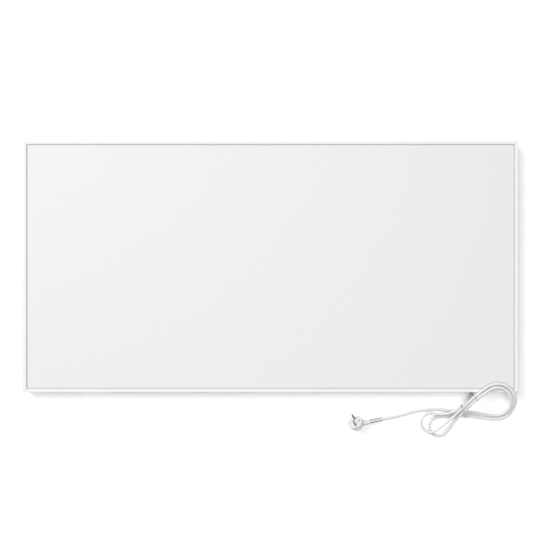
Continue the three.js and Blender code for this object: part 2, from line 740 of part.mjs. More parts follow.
// A smooth curve that starts and ends on its first and last points: a cubic B-spline.
class CordCurve extends THREE.Curve {
  constructor(points) {
    super();
    this.points = points;
    this.arcLengthDivisions = 1200;
  }

  control(i) {
    const last = this.points.length - 1;
    if (i < 0) return this.points[0].clone().multiplyScalar(2).sub(this.points[1]);
    if (i > last) return this.points[last].clone().multiplyScalar(2).sub(this.points[last - 1]);
    return this.points[i];
  }

  getPoint(t, target = new THREE.Vector3()) {
    const spans = this.points.length - 1;
    const at = THREE.MathUtils.clamp(t, 0, 1) * spans;
    const i = Math.min(Math.floor(at), spans - 1);
    const u = at - i;
    const weights = [
      (1 - u) ** 3,
      3 * u ** 3 - 6 * u ** 2 + 4,
      -3 * u ** 3 + 3 * u ** 2 + 3 * u + 1,
      u ** 3,
    ];
    target.set(0, 0, 0);
    weights.forEach((weight, k) => target.addScaledVector(this.control(i - 1 + k), weight / 6));
    return target;
  }
}

// A stretch of the cord between two lengths along it.
class CordStretch extends THREE.Curve {
  constructor(cord, from, to) {
    super();
    Object.assign(this, { cord, from, to });
  }

  getPoint(t, target) {
    return this.cord.getPointAt(lerp(this.from, this.to, t) / this.cord.getLength(), target);
  }
}

// Route points are measured from the panel's lower right corner on the floor.
const tiedRest = cordRest + tieThickness + tieClearance + 0.2; // the same over the waist tie
const leadPoints = [
  [-325, -66, 5.6], [-317, -64.6, 5.1], [-300, -62, 4.0], [-282, -57.5, cordRest],
  [-260, -51, cordRest], [-238, -46, cordRest], [-211, -42.5, cordRest], [-182, -43, cordRest],
  [-154, -46.5, tiedRest], [-130, -48, tiedRest], [-108, -50.5, tiedRest],
];
const tailPoints = [
  [-188, -56, 12], [-168, -53, 12.8], [-150, -47.5, 13.2], [-134, -37, 12.6], [-121, -23, 10.5],
  [-111, -7, 9], [-104, 8, 8.5], [-100, 22, 9.3], [-100, 36, entryHeight],
  [-100, 50, entryHeight], [-100, 64, entryHeight], [-100, 80, entryHeight],
  [-100, boxFromEdge + boxWall + sheathEnd, entryHeight],
];

// The bundle is a figure of eight. The right lobes climb onto the panel's corner, the second
// round the first; both cross over the waist on a long slope, and the left lobes cross each other.
const turns = 2;
const rightLobe = { center: [-50.5, -23], radius: 37, step: 9, from: -110, to: 140, points: 9 };
const lobeHeight = frontHeight + cordRadius + 3;
const climb = { floor: -74, panel: -1 };
const waist = { start: [-99, -15], stride: [-16.7, -17.3], aside: [-6.3, 5.5], points: 4 };
const waistHeights = [[frontHeight + 1, 10.5], [frontHeight + 1.5, 16]];
const leftLobe = {
  center: [-191, -85], aside: [-20, 9], radius: 24, from: -34, turnBack: -14, to: -259, points: 8,
};
const foldHeights = [cordRest, 11.8];
const backRun = { start: [-178, -61], end: [-97, -62.5], crown: 4.5, points: 5 };

function arcPoints({ center, radius, from, to, points }) {
  return Array.from({ length: points }, (_, i) => {
    const angle = degToRad(lerp(from, to, i / (points - 1)));
    return [center[0] + radius * Math.cos(angle), center[1] + radius * Math.sin(angle)];
  });
}

function bundlePoints() {
  const route = [];
  for (let turn = 0; turn < turns; turn += 1) {
    const lobe = { ...rightLobe, radius: rightLobe.radius + rightLobe.step * turn };
    arcPoints(lobe).forEach(([x, y]) => route.push(
      [x, y, lerp(cordRest, lobeHeight, smootherstep(y, climb.floor, climb.panel))]));

    for (let i = 0; i < waist.points; i += 1) {
      const [x, y] = [0, 1].map((k) => waist.start[k] + waist.stride[k] * i + waist.aside[k] * turn);
      route.push([x, y, lerp(...waistHeights[turn], i / (waist.points - 1))]);
    }

    const fold = {
      ...leftLobe,
      center: leftLobe.center.map((value, k) => value + leftLobe.aside[k] * turn),
      from: leftLobe.from + leftLobe.turnBack * turn,
      to: leftLobe.to + leftLobe.turnBack * turn,
    };
    arcPoints(fold).forEach(([x, y], i) => route.push([x, y, foldHeights[turn] + (i ? 0 : 1.2)]));

    if (turn < turns - 1) {
      for (let i = 0; i < backRun.points; i += 1) {
        const share = i / (backRun.points - 1);
        route.push([lerp(backRun.start[0], backRun.end[0], share),
          lerp(backRun.start[1], backRun.end[1], share) + backRun.crown * Math.sin(Math.PI * share),
          share < 0.3 ? cordRest : tiedRest]);
      }
    }
  }
  return route;
}

const bundleRoute = bundlePoints();
const cordRoute = [...leadPoints, ...bundleRoute, ...tailPoints].map((p) => new THREE.Vector3(...p));
const cord = new CordCurve(cordRoute);
const bundleStart = leadPoints.length - 1;
const bundleEnd = leadPoints.length + bundleRoute.length;
const spans = cordRoute.length - 1;

// The cord's length up to one of its route points.
function lengthAt(pointIndex) {
  const lengths = cord.getLengths();
  return lengths[Math.round((pointIndex / spans) * (lengths.length - 1))];
}

function cordTube(from, to) {
  const section = new THREE.Shape().absarc(0, 0, cordRadius, 0, Math.PI * 2);
  const steps = Math.ceil((to - from) / (2.2 * cordDiameter));
  return welded(new THREE.ExtrudeGeometry(section, {
    extrudePath: new CordStretch(cord, from, to), steps, curveSegments: 5,
  }));
}

// The least gap between stretches of the bundle that don't follow each other.
function leastGap() {
  const count = 900;
  const [from, to] = [lengthAt(bundleStart), lengthAt(bundleEnd)];
  const points = new CordStretch(cord, from, to).getPoints(count);
  const apart = Math.ceil((4 * cordDiameter * count) / (to - from));
  let least = Infinity;
  for (let i = 0; i <= count; i += 1) {
    for (let j = i + apart; j <= count; j += 1) {
      least = Math.min(least, points[i].distanceTo(points[j]));
    }
  }
  return least - cordDiameter;
}

function addCord() {
  const [start, end] = [lengthAt(bundleStart), lengthAt(bundleEnd)];
  add(cornerGroup, 'cord_lead', cordTube(0, start - cordGap / 2), 'cord');
  add(cornerGroup, 'cord_tail', cordTube(end + cordGap / 2, cord.getLength()), 'cord');

  const total = cord.getLength();
  const rings = [cord.getPointAt((start + cordGap / 2) / total)];
  for (let i = bundleStart + 1; i < bundleEnd; i += 1) rings.push(cord.getPoint(i / spans));
  rings.push(cord.getPointAt((end - cordGap / 2) / total));
  add(cornerGroup, 'cord_bundle', tube(rings, rings.map(() => cordRadius), 6), 'cord');
}

// ---------------------------------------------------------------- plug

// The body's outline: a rim behind the face, then a rounded back, as [radius, depth] pairs.
function plugProfile() {
  const [R, back] = [plugRimRadius, plugBackRadius];
  return [
    [0, 0], [R - 1, 0], [R, 1], [R, plugRimLength - 0.8], [R - 1.2, plugRimLength],
    [back + 0.8, plugRimLength + 2.5], [back, plugLength - 9.6], [back - 1.6, plugLength - 5.6],
    [back - 4.3, plugLength - 2.6], [back - 8.8, plugLength - 0.6], [0, plugLength],
  ];
}

// The plug's own frame: x from the face back, y along the two pins, z where the cord leaves.
// It lies on its rounded back, and its roll lifts the side where the cord leaves.
function plugPlace() {
  const [turn, pitch] = [degToRad(plugTurn), degToRad(plugPitch)];
  const [level, rise] = [Math.cos(pitch), Math.sin(pitch)];
  const out = new THREE.Vector3(Math.cos(turn), Math.sin(turn), 0);
  const back = new THREE.Vector3(out.y * level, -out.x * level, -rise);
  const height = Math.max(...plugProfile().map(([r, depth]) => depth * rise + r * level));
  const [tip] = cordRoute;
  return new THREE.Matrix4().makeBasis(back, out.clone().cross(back), out)
    .setPosition(tip.x + plugFromCord[0], tip.y + plugFromCord[1], height + plugFloorGap)
    .multiply(new THREE.Matrix4().makeRotationX(degToRad(plugRoll)));
}

// The relief's middle line in the plug's frame: square out of the body, then down to the cord.
function reliefLine() {
  const place = plugPlace();
  const [tip, next] = cordRoute;
  const ahead = next.clone().sub(tip).normalize();
  const end = tip.clone().addScaledVector(ahead, -cordGap);
  const root = new THREE.Vector3(reliefDepth, 0, reliefRoot).applyMatrix4(place);
  const out = new THREE.Vector3(0, 0, 1).transformDirection(place);
  const reach = root.distanceTo(end) / 3;
  const curve = new THREE.CubicBezierCurve3(
    root, root.clone().addScaledVector(out, reach), end.clone().addScaledVector(ahead, -reach), end);
  const toPlug = place.clone().invert();
  return curve.getSpacedPoints(12).map((point) => point.applyMatrix4(toPlug));
}

function plugBody() {
  const R = plugRimRadius;
  const body = turned(plugProfile(), 28).rotateY(Math.PI / 2);
  const line = reliefLine();
  const radii = line.map((_, i) => lerp(reliefRootRadius, reliefTipRadius, i / (line.length - 1)));
  const whole = joined(body, tube(line, radii, 14));

  const clear = 0.3;
  const bores = [-1, 1].map((side) => rod(pinRadius + clear, 0, 0, -1, pinSeat + clear, 14)
    .rotateY(Math.PI / 2).translate(0, (side * pinSpacing) / 2, 0));
  const earthHole = rod(pinRadius, 0, 0, -1, earthHoleDepth, 14)
    .rotateY(Math.PI / 2).translate(0, 0, earthHoleOffset);
  const half = stripWidth / 2 + clear;
  const armIn = R - grooveDepth;
  const grooves = [-1, 1].map((side) => block(
    [-1, -half, side < 0 ? -R - 1 : armIn],
    [stripDepth + stripThickness + clear, half, side < 0 ? -armIn : R + 1]));
  const barSlot = block([stripDepth - clear, -half, -R], [stripDepth + stripThickness + clear, half, R]);
  const guides = [-1, 1].map((side) => block(
    [-1, side < 0 ? -R - 1 : R - 2.6, -2.6], [plugRimLength - 1.5, side < 0 ? -R + 2.6 : R + 1, 2.6]));
  return cut(whole, ...bores, earthHole, ...grooves, barSlot, ...guides);
}

// The earth strip: one bar through the body, with an arm in the rim's groove at each end.
function earthStrip() {
  const half = stripWidth / 2;
  const armOut = plugRimRadius - grooveDepth + 0.3 + stripThickness;
  const bar = block([stripDepth, -half, -armOut], [stripDepth + stripThickness, half, armOut]);
  const arms = [-1, 1].map((side) => block(
    [1.2, -half, side < 0 ? -armOut : armOut - stripThickness],
    [stripDepth + stripThickness / 2, half, side < 0 ? -armOut + stripThickness : armOut]));
  return joined(bar, ...arms);
}

function addPlug() {
  const plug = new THREE.Group();
  plug.applyMatrix4(plugPlace());
  cornerGroup.add(plug);

  add(plug, 'plug_body', plugBody(), 'whitePlastic');
  [-1, 1].forEach((side, i) => {
    const pin = turned([
      [0, -pinReach], [pinRadius * 0.55, -pinReach], [pinRadius, -pinReach + 2],
      [pinRadius, pinSeat], [0, pinSeat],
    ], 14).rotateY(Math.PI / 2);
    add(plug, `plug_pin_${i + 1}`, welded(pin), 'nickel').position.y = (side * pinSpacing) / 2;
  });
  add(plug, 'plug_earth_strip', earthStrip(), 'nickel');
}

// ---------------------------------------------------------------- cord ties

// Each tie is a flat band drawn round the strands it holds, with its twisted ends standing off.
// Its plane leans from upright by its pitch and faces along its azimuth.
const ties = [
  { name: 'cord_tie_waist', place: [-131.5, -47.5, 15.7], azimuth: 24, pitch: 0, reach: 26, tailAngle: 55 },
  { name: 'cord_tie_edge', place: [-103, -13.5, 39.6], azimuth: 36, pitch: 20, reach: 14, tailAngle: 28 },
];

function tieAxes({ azimuth, pitch }) {
  const [turn, lean] = [degToRad(azimuth), degToRad(pitch)];
  const across = new THREE.Vector3(-Math.sin(turn), Math.cos(turn), 0);
  const normal = new THREE.Vector3(
    Math.cos(turn) * Math.cos(lean), Math.sin(turn) * Math.cos(lean), Math.sin(lean));
  return { across, up: new THREE.Vector3().crossVectors(normal, across), normal };
}

// Where strands pass through a tie: the middle of each on both edges of the band.
function strandCentres(place, reach, { across, up, normal }) {
  const points = cord.getSpacedPoints(900).map((p) => p.sub(place));
  const centres = [];
  for (let i = 1; i < points.length; i += 1) {
    const [before, after] = [points[i - 1], points[i]];
    if (before.dot(normal) * after.dot(normal) > 0 || after.length() > reach) continue;
    const course = after.clone().sub(before).normalize();
    const square = course.dot(normal);
    const slant = Math.acos(Math.abs(square));
    const slide = (tieWidth / 2 + cordRadius * Math.tan(slant / 2)) / square;
    [-slide, slide].forEach((k) => centres.push(
      [after.dot(across) + k * course.dot(across), after.dot(up) + k * course.dot(up)]));
  }
  return centres;
}

// The outline of a band stretched round circles, as a ring of points.
function stretchedRound(centres, radius) {
  const count = 16;
  const rim = centres.flatMap(([x, y]) => Array.from({ length: count }, (_, i) => {
    const angle = (2 * Math.PI * i) / count;
    return new THREE.Vector2(x + radius * Math.cos(angle), y + radius * Math.sin(angle));
  })).sort((p, q) => p.x - q.x || p.y - q.y);
  const half = (points) => points.reduce((chain, p) => {
    while (chain.length > 1) {
      const [o, m] = chain.slice(-2);
      if ((m.x - o.x) * (p.y - o.y) - (m.y - o.y) * (p.x - o.x) > 1e-6) break;
      chain.pop();
    }
    return [...chain, p];
  }, []);
  return [...half(rim).slice(0, -1), ...half([...rim].reverse()).slice(0, -1)];
}

function tie(centres, tailAngle) {
  const inner = stretchedRound(centres, cordRadius + tieClearance);
  const outer = stretchedRound(centres, cordRadius + tieClearance + tieThickness);
  const band = new THREE.Shape(outer);
  band.holes.push(new THREE.Path(inner));
  const loop = slab(band, -tieWidth / 2, tieWidth / 2);
  const along = new THREE.Vector3(Math.cos(tailAngle), Math.sin(tailAngle), 0);
  const root = outer.map((p) => new THREE.Vector3(p.x, p.y, 0))
    .reduce((best, p) => (p.dot(along) > best.dot(along) ? p : best))
    .addScaledVector(along, -tieThickness / 2);
  const tail = tube([0, 0.5, 1].map((share) => root.clone().addScaledVector(along, tieTail * share)),
    [1.1, 1.3, 0.7], 6);
  return joined(loop, tail);
}

function addTies() {
  ties.forEach((settings) => {
    const axes = tieAxes(settings);
    const place = new THREE.Vector3(...settings.place);
    const centres = strandCentres(place, settings.reach, axes);
    const loop = add(cornerGroup, settings.name, tie(centres, degToRad(settings.tailAngle)), 'tie');
    loop.quaternion.setFromRotationMatrix(
      new THREE.Matrix4().makeBasis(axes.across, axes.up, axes.normal));
    loop.position.copy(place);
  });
}

// ---------------------------------------------------------------- the heater

addFrame();
addLayers();
addBrackets();
addJunctionBox();
addCord();
addPlug();
addTies();

console.log(`cord length ${cord.getLength().toFixed(0)} mm`);
console.log(`least gap of the bundle to itself ${leastGap().toFixed(2)} mm`);

export default heater;
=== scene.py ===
# The looks of an infrared panel heater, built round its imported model.
# Metres, in the model's own frame: X along the panel, Y up the panel as it hangs, Z out of its face.
# The camera's place and reach and the lamps are in metres too. Other lengths in the settings are
# millimetres, as in the part's source.

import json
import math

import bmesh
import bpy
import numpy as np
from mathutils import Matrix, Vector


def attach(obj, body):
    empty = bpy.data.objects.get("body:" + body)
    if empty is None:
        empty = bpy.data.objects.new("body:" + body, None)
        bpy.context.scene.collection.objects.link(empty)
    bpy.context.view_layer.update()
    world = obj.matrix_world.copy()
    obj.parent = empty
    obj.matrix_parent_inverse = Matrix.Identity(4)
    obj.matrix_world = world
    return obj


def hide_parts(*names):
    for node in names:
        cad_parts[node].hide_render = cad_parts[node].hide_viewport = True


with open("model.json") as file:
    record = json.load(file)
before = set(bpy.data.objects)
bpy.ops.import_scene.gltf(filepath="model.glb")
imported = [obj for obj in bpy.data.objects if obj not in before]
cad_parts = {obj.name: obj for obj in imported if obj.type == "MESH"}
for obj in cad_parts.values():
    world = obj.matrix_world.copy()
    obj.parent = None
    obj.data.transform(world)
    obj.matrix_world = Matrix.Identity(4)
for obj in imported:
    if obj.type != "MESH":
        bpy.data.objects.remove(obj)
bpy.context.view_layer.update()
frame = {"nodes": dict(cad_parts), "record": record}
MM = 0.001

panel = {"length": 1200.0, "height": 610.0, "back": 18.0, "front": 40.0}
corner = np.array([panel["length"] / 2, -panel["height"] / 2, 0.0])


# Helpers for curves and meshes.

def lerp(a, b, t):
    return a + (b - a) * t


def smootherstep(x, low, high):
    t = np.clip((x - low) / (high - low), 0, 1)
    return t * t * t * (t * (t * 6 - 15) + 10)


def smoothstep(x, low, high):
    t = np.clip((x - low) / (high - low), 0, 1)
    return t * t * (3 - 2 * t)


def unit(v):
    return v / np.linalg.norm(v, axis=-1, keepdims=True)


# A cubic B-spline through its own ends: the phantom points mirror the second point in the first.
def splinePoints(control, perSpan=60):
    ends = [2 * control[0] - control[1]], [2 * control[-1] - control[-2]]
    padded = np.concatenate([ends[0], control, ends[1]])
    u = np.arange(perSpan) / perSpan
    weights = np.stack([(1 - u) ** 3, 3 * u**3 - 6 * u**2 + 4, -3 * u**3 + 3 * u**2 + 3 * u + 1, u**3]) / 6
    spans = len(control) - 1
    windows = np.stack([padded[k:k + spans] for k in range(4)])
    points = np.einsum("ku,ksd->sud", weights, windows).reshape(-1, 3)
    return np.concatenate([points, control[-1:]])


def lengthsAlong(points):
    steps = np.linalg.norm(np.diff(points, axis=0), axis=1)
    return np.concatenate([[0.0], np.cumsum(steps)])


def evenly(points, step):
    along = lengthsAlong(points)
    count = max(2, int(round(along[-1] / step)) + 1)
    at = np.linspace(0, along[-1], count)
    return np.stack([np.interp(at, along, points[:, k]) for k in range(3)], axis=1)


# Quads between the rows of a grid of vertices, whose columns close on themselves.
def gridFaces(rows, columns, closeRows=False, first=0):
    r = np.arange(rows if closeRows else rows - 1)[:, None]
    c = np.arange(columns)[None, :]
    nextRow = (r + 1) % rows
    nextColumn = (c + 1) % columns
    faces = np.stack([r * columns + c, r * columns + nextColumn,
                      nextRow * columns + nextColumn, nextRow * columns + c], axis=-1)
    return (faces.reshape(-1, 4) + first).tolist()


# A new object from vertices in millimetres; faces turn outward and edges past the angle stay sharp.
def makePiece(name, vertices, faces, smoothAngle=35):
    mesh = bpy.data.meshes.new(name)
    mesh.from_pydata((np.asarray(vertices, float) * MM).tolist(), [], faces)
    return finishPiece(name, mesh, smoothAngle)


def finishPiece(name, mesh, smoothAngle=35):
    work = bmesh.new()
    work.from_mesh(mesh)
    bmesh.ops.remove_doubles(work, verts=work.verts, dist=1e-6)
    bmesh.ops.recalc_face_normals(work, faces=work.faces)
    work.to_mesh(mesh)
    work.free()
    mesh.polygons.foreach_set("use_smooth", np.ones(len(mesh.polygons), bool))
    mesh.set_sharp_from_angle(angle=math.radians(smoothAngle))
    piece = bpy.data.objects.new(name, mesh)
    bpy.context.scene.collection.objects.link(piece)
    return piece


# Grids of rings as closed bodies in one piece: flat ends unless the rows close on themselves.
def ringBodies(name, bodies, smoothAngle=35):
    vertices, faces = [], []
    first = 0
    for rings, closed in bodies:
        rows, columns, _ = rings.shape
        faces += gridFaces(rows, columns, closed, first)
        if not closed:
            last = first + (rows - 1) * columns
            faces += [[first + k for k in range(columns)][::-1], [last + k for k in range(columns)]]
        vertices.append(rings.reshape(-1, 3))
        first += rows * columns
    return makePiece(name, np.concatenate(vertices), faces, smoothAngle)


def ringBody(name, rings, closed=False, smoothAngle=35):
    return ringBodies(name, [(rings, closed)], smoothAngle)


def roundSection(sides):
    angle = np.arange(sides) * 2 * np.pi / sides
    return np.stack([np.cos(angle), np.sin(angle)], axis=1)


# A rounded bar's section: each half width times the angle's cosine or sine to a small power.
def barSection(halfWidth, halfThickness, sides=24, power=0.35):
    ring = roundSection(sides)
    return np.sign(ring) * np.abs(ring) ** power * np.array([halfWidth, halfThickness])


# Rings round a line: the section's first measure lies along the up direction made square to the line,
# its second along the other side, and both are scaled by the radius.
def ringsAlong(points, section, radius=1.0, up=(0, 0, 1), closed=False):
    if closed:
        tangent = unit(np.roll(points, -1, axis=0) - np.roll(points, 1, axis=0))
    else:
        tangent = unit(np.gradient(points, axis=0))
    up = np.broadcast_to(np.asarray(up, float), tangent.shape)
    normal = unit(up - tangent * np.sum(up * tangent, axis=1, keepdims=True))
    across = np.cross(tangent, normal)
    radius = np.broadcast_to(radius, (len(points), len(section)))[..., None]
    return points[:, None] + radius * (section[None, :, :1] * normal[:, None]
                                       + section[None, :, 1:] * across[:, None])


# A turned body's rings about an axis: each profile row is a distance along it and a radius.
def turnedRings(profile, sides, radiusChange=0.0):
    profile = np.asarray(profile, float)
    angle = np.arange(sides) * 2 * np.pi / sides
    radius = profile[:, 1:] + radiusChange
    along = np.broadcast_to(profile[:, :1], (len(profile), sides))
    return np.stack([along, -radius * np.sin(angle), radius * np.cos(angle)], axis=2)


# A number for each vertex, which a material can read by its name.
def setAttribute(piece, name, values):
    attribute = piece.data.attributes.new(name, "FLOAT", "POINT")
    attribute.data.foreach_set("value", np.asarray(values, np.float32).ravel())


# Weighs each corner's shading by its faces' areas, so that a wide flat face shades flat.
def evenShading(piece):
    shading = piece.modifiers.new("even shading", "WEIGHTED_NORMAL")
    shading.keep_sharp = True
    return piece


def blockPiece(name, low, high):
    x, y, z = zip(low, high)
    vertices = [[x[i], y[j], z[k]] for i in (0, 1) for j in (0, 1) for k in (0, 1)]
    faces = [[0, 1, 3, 2], [4, 6, 7, 5], [0, 4, 5, 1], [2, 3, 7, 6], [0, 2, 6, 4], [1, 5, 7, 3]]
    return makePiece(name, vertices, faces)


# A rod along X between two places, about a point of the YZ plane.
def rodPiece(name, radius, start, end, y=0.0, z=0.0, sides=40):
    rings = turnedRings([[start, radius], [end, radius]], sides) + np.array([0, y, z])
    return ringBody(name, rings)


# The mesh an object shows with its modifiers, as a plain object in its place.
def applied(piece):
    evaluated = piece.evaluated_get(bpy.context.evaluated_depsgraph_get())
    mesh = bpy.data.meshes.new_from_object(evaluated)
    name = piece.name
    old = piece.data
    bpy.data.objects.remove(piece)
    if isinstance(old, bpy.types.Mesh) and not old.users:
        bpy.data.meshes.remove(old)
    mesh.materials.clear()
    return finishPiece(name, mesh)


def carved(piece, *tools):
    for tool in tools:
        cut = piece.modifiers.new("cut", "BOOLEAN")
        cut.operation = "DIFFERENCE"
        cut.solver = "EXACT"
        cut.object = tool
    bpy.context.view_layer.update()
    result = applied(piece)
    for tool in tools:
        bpy.data.objects.remove(tool)
    return result


# A flat sheet with rounded edges from outlines in millimetres, the first round the others.
# It lies about z = 0, and every outline is drawn in by the edge's rounding first.
def sheetPiece(name, outlines, thickness, edge=0.3, resolution=3):
    curve = bpy.data.curves.new(name, "CURVE")
    curve.dimensions = "2D"
    curve.fill_mode = "BOTH"
    curve.extrude = (thickness / 2 - edge) * MM
    curve.bevel_depth = edge * MM
    curve.bevel_resolution = resolution
    curve.offset = -edge * MM
    for outline in outlines:
        spline = curve.splines.new("POLY")
        spline.points.add(len(outline) - 1)
        flat = np.zeros((len(outline), 4))
        flat[:, :2] = np.asarray(outline) * MM
        flat[:, 3] = 1
        spline.points.foreach_set("co", flat.ravel())
        spline.use_cyclic_u = True
    piece = bpy.data.objects.new(name, curve)
    bpy.context.scene.collection.objects.link(piece)
    bpy.context.view_layer.update()
    return applied(piece)


def arc(x, y, radius, start, end, count):
    angle = np.radians(np.linspace(start, end, count))
    return np.stack([x + radius * np.cos(angle), y + radius * np.sin(angle)], axis=1)


def circle(x, y, radius, count=40):
    return arc(x, y, radius, 0, 360, count + 1)[:-1]


def roundedRectangle(left, bottom, right, top, radius, count=9):
    return np.concatenate([
        arc(right - radius, top - radius, radius, 0, 90, count),
        arc(left + radius, top - radius, radius, 90, 180, count),
        arc(left + radius, bottom + radius, radius, 180, 270, count),
        arc(right - radius, bottom + radius, radius, 270, 360, count),
    ])


def vertexArray(piece):
    flat = np.zeros(len(piece.data.vertices) * 3, np.float32)
    piece.data.vertices.foreach_get("co", flat)
    return flat.reshape(-1, 3).astype(float) / MM


def setVertices(piece, vertices):
    piece.data.vertices.foreach_set("co", (vertices * MM).astype(np.float32).ravel())
    piece.data.update()


# Moves a piece's vertices by a turn about Z and a shift.
def placed(piece, shift=(0, 0, 0), turn=0.0):
    c, s = math.cos(turn), math.sin(turn)
    spin = np.array([[c, -s, 0], [s, c, 0], [0, 0, 1]])
    setVertices(piece, vertexArray(piece) @ spin.T + np.asarray(shift, float))
    return piece


# Rides on the body, takes the look of its slot and stands in for the solids it names.
def settle(piece, slot, *nodes, look=None):
    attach(piece, "root")
    if nodes:
        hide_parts(*nodes)
    piece.data.materials.clear()
    piece.data.materials.append(materials[look or slot])
    return piece


# Camera, floor and light.

cameraLook = {"lens": 135.0, "sensor": 36.0, "aim": (0.0109, -0.0208), "distance": 4.993, "clipEnd": 50.0}


# A long lens straight above the front plate.
def addCamera():
    camera = bpy.data.cameras.new("camera")
    camera.lens = cameraLook["lens"]
    camera.sensor_width = cameraLook["sensor"]
    camera.clip_end = cameraLook["clipEnd"]
    holder = bpy.data.objects.new("camera", camera)
    holder.location = (*cameraLook["aim"], panel["front"] * MM + cameraLook["distance"])
    bpy.context.scene.collection.objects.link(holder)
    bpy.context.scene.camera = holder


floorLook = {"reach": 8000.0, "under": 0.15}
lighting = {
    "world": 0.26,
    "key": {"place": (-3.2, 2.8, 4.3), "size": 3.6, "power": 320},
    "fill": {"place": (0.8, -0.6, 4.6), "size": 3.6, "power": 112},
    "worldSeen": 1.0,
    "floorSeen": 1.245,
    "floorBounce": 0.80,
}


def addLight(name, place, size, power):
    light = bpy.data.lights.new(name, "AREA")
    light.shape = "SQUARE"
    light.size = size
    light.energy = power
    holder = bpy.data.objects.new(name, light)
    holder.location = place
    holder.rotation_euler = (-Vector(place)).to_track_quat("-Z", "Y").to_euler()
    bpy.context.scene.collection.objects.link(holder)


# One value for what the camera sees, straight, mirrored or through glass, and another for the light.
def seenOrLit(tree, seen, lit):
    path = tree.nodes.new("ShaderNodeLightPath").outputs
    direct = mathNode(tree, "MAXIMUM", path["Is Camera Ray"], path["Is Glossy Ray"])
    either = mathNode(tree, "MAXIMUM", direct, path["Is Transmission Ray"])
    return mathNode(tree, "MULTIPLY_ADD", either, seen - lit, lit)


def addStudio():
    world = bpy.data.worlds.new("studio")
    world.use_nodes = True
    sky = world.node_tree.nodes["Background"]
    sky.inputs["Color"].default_value = (1, 1, 1, 1)
    tree = world.node_tree
    tree.links.new(seenOrLit(tree, lighting["worldSeen"], lighting["world"]), sky.inputs["Strength"])
    bpy.context.scene.world = world
    addLight("key", **lighting["key"])
    addLight("fill", **lighting["fill"])
    bpy.context.scene.view_settings.view_transform = "Standard"

    reach, low = floorLook["reach"], -floorLook["under"]
    corners = [[x * reach, y * reach, low] for x, y in ((-1, -1), (1, -1), (1, 1), (-1, 1))]
    floor = makePiece("floor", corners, [[0, 1, 2, 3]])
    material = bpy.data.materials.new("floor")
    material.use_nodes = True
    shader = material.node_tree.nodes["Principled BSDF"]
    shader.inputs["Roughness"].default_value = 1.0
    shader.inputs["Specular IOR Level"].default_value = 0.0
    tree = material.node_tree
    color = seenOrLit(tree, lighting["floorSeen"], lighting["floorBounce"])
    tree.links.new(color, shader.inputs["Base Color"])
    floor.data.materials.append(material)


# Cord route, as in the part's source.

cord = {"diameter": 7.0, "rest": 3.6, "tied": 4.9, "entry": 10.5}

leadPoints = [
    [-325, -66, 5.6], [-317, -64.6, 5.1], [-300, -62, 4.0], [-282, -57.5, 3.6],
    [-260, -51, 3.6], [-238, -46, 3.6], [-211, -42.5, 3.6], [-182, -43, 3.6],
    [-154, -46.5, 4.9], [-130, -48, 4.9], [-108, -50.5, 4.9],
]
tailPoints = [
    [-188, -56, 12], [-168, -53, 12.8], [-150, -47.5, 13.2], [-134, -37, 12.6], [-121, -23, 10.5],
    [-111, -7, 9], [-104, 8, 8.5], [-100, 22, 9.3], [-100, 36, 10.5],
    [-100, 50, 10.5], [-100, 64, 10.5], [-100, 80, 10.5], [-100, 93, 10.5],
]
rightLobe = {"center": (-50.5, -23), "radius": 37, "step": 9, "start": -110, "end": 140, "points": 9}
lobeHeight = panel["front"] + cord["diameter"] / 2 + 3
climb = (-74, -1)  # the places along Y between which the right lobe climbs
waist = {"start": (-99, -15), "stride": (-16.7, -17.3), "aside": (-6.3, 5.5), "points": 4}
waistHeights = [(panel["front"] + 1, 10.5), (panel["front"] + 1.5, 16)]
leftLobe = {"center": (-191, -85), "aside": (-20, 9), "radius": 24, "start": -34, "turnBack": -14,
            "end": -259, "points": 8, "lift": 1.2}
foldHeights = [3.6, 11.8]
backRun = {"start": (-178, -61), "end": (-97, -62.5), "crown": 4.5, "points": 5, "flat": 0.3}


# The figure of eight, turn by turn: the right lobe climbs onto the panel's corner, four points cross
# the waist on a slope, the left lobe folds back, and the first turn runs back along the floor.
def bundlePoints():
    route = []
    for turn in range(2):
        lobe = rightLobe
        ring = arc(*lobe["center"], lobe["radius"] + lobe["step"] * turn, lobe["start"], lobe["end"],
                   lobe["points"])
        height = lerp(cord["rest"], lobeHeight, smootherstep(ring[:, 1], *climb))
        route.append(np.column_stack([ring, height]))

        step = np.arange(waist["points"])[:, None]
        line = np.array(waist["start"]) + np.array(waist["stride"]) * step + np.array(waist["aside"]) * turn
        slope = np.linspace(*waistHeights[turn], waist["points"])
        route.append(np.column_stack([line, slope]))

        fold = leftLobe
        center = np.array(fold["center"]) + np.array(fold["aside"]) * turn
        back = fold["turnBack"] * turn
        ring = arc(*center, fold["radius"], fold["start"] + back, fold["end"] + back, fold["points"])
        height = np.full(fold["points"], foldHeights[turn])
        height[0] += fold["lift"]
        route.append(np.column_stack([ring, height]))

        if turn == 0:
            share = np.linspace(0, 1, backRun["points"])
            run = lerp(np.array(backRun["start"]), np.array(backRun["end"]), share[:, None])
            run[:, 1] += backRun["crown"] * np.sin(np.pi * share)
            height = np.where(share < backRun["flat"], cord["rest"], cord["tied"])
            route.append(np.column_stack([run, height]))
    return np.concatenate(route)


def cordRoute():
    return np.concatenate([np.array(leadPoints, float), bundlePoints(), np.array(tailPoints, float)]) + corner


route = cordRoute()
cordLine = splinePoints(route)
cordLength = lengthsAlong(cordLine)[-1]
print(f"cord length {cordLength:.1f} mm")


# Node groups and materials.

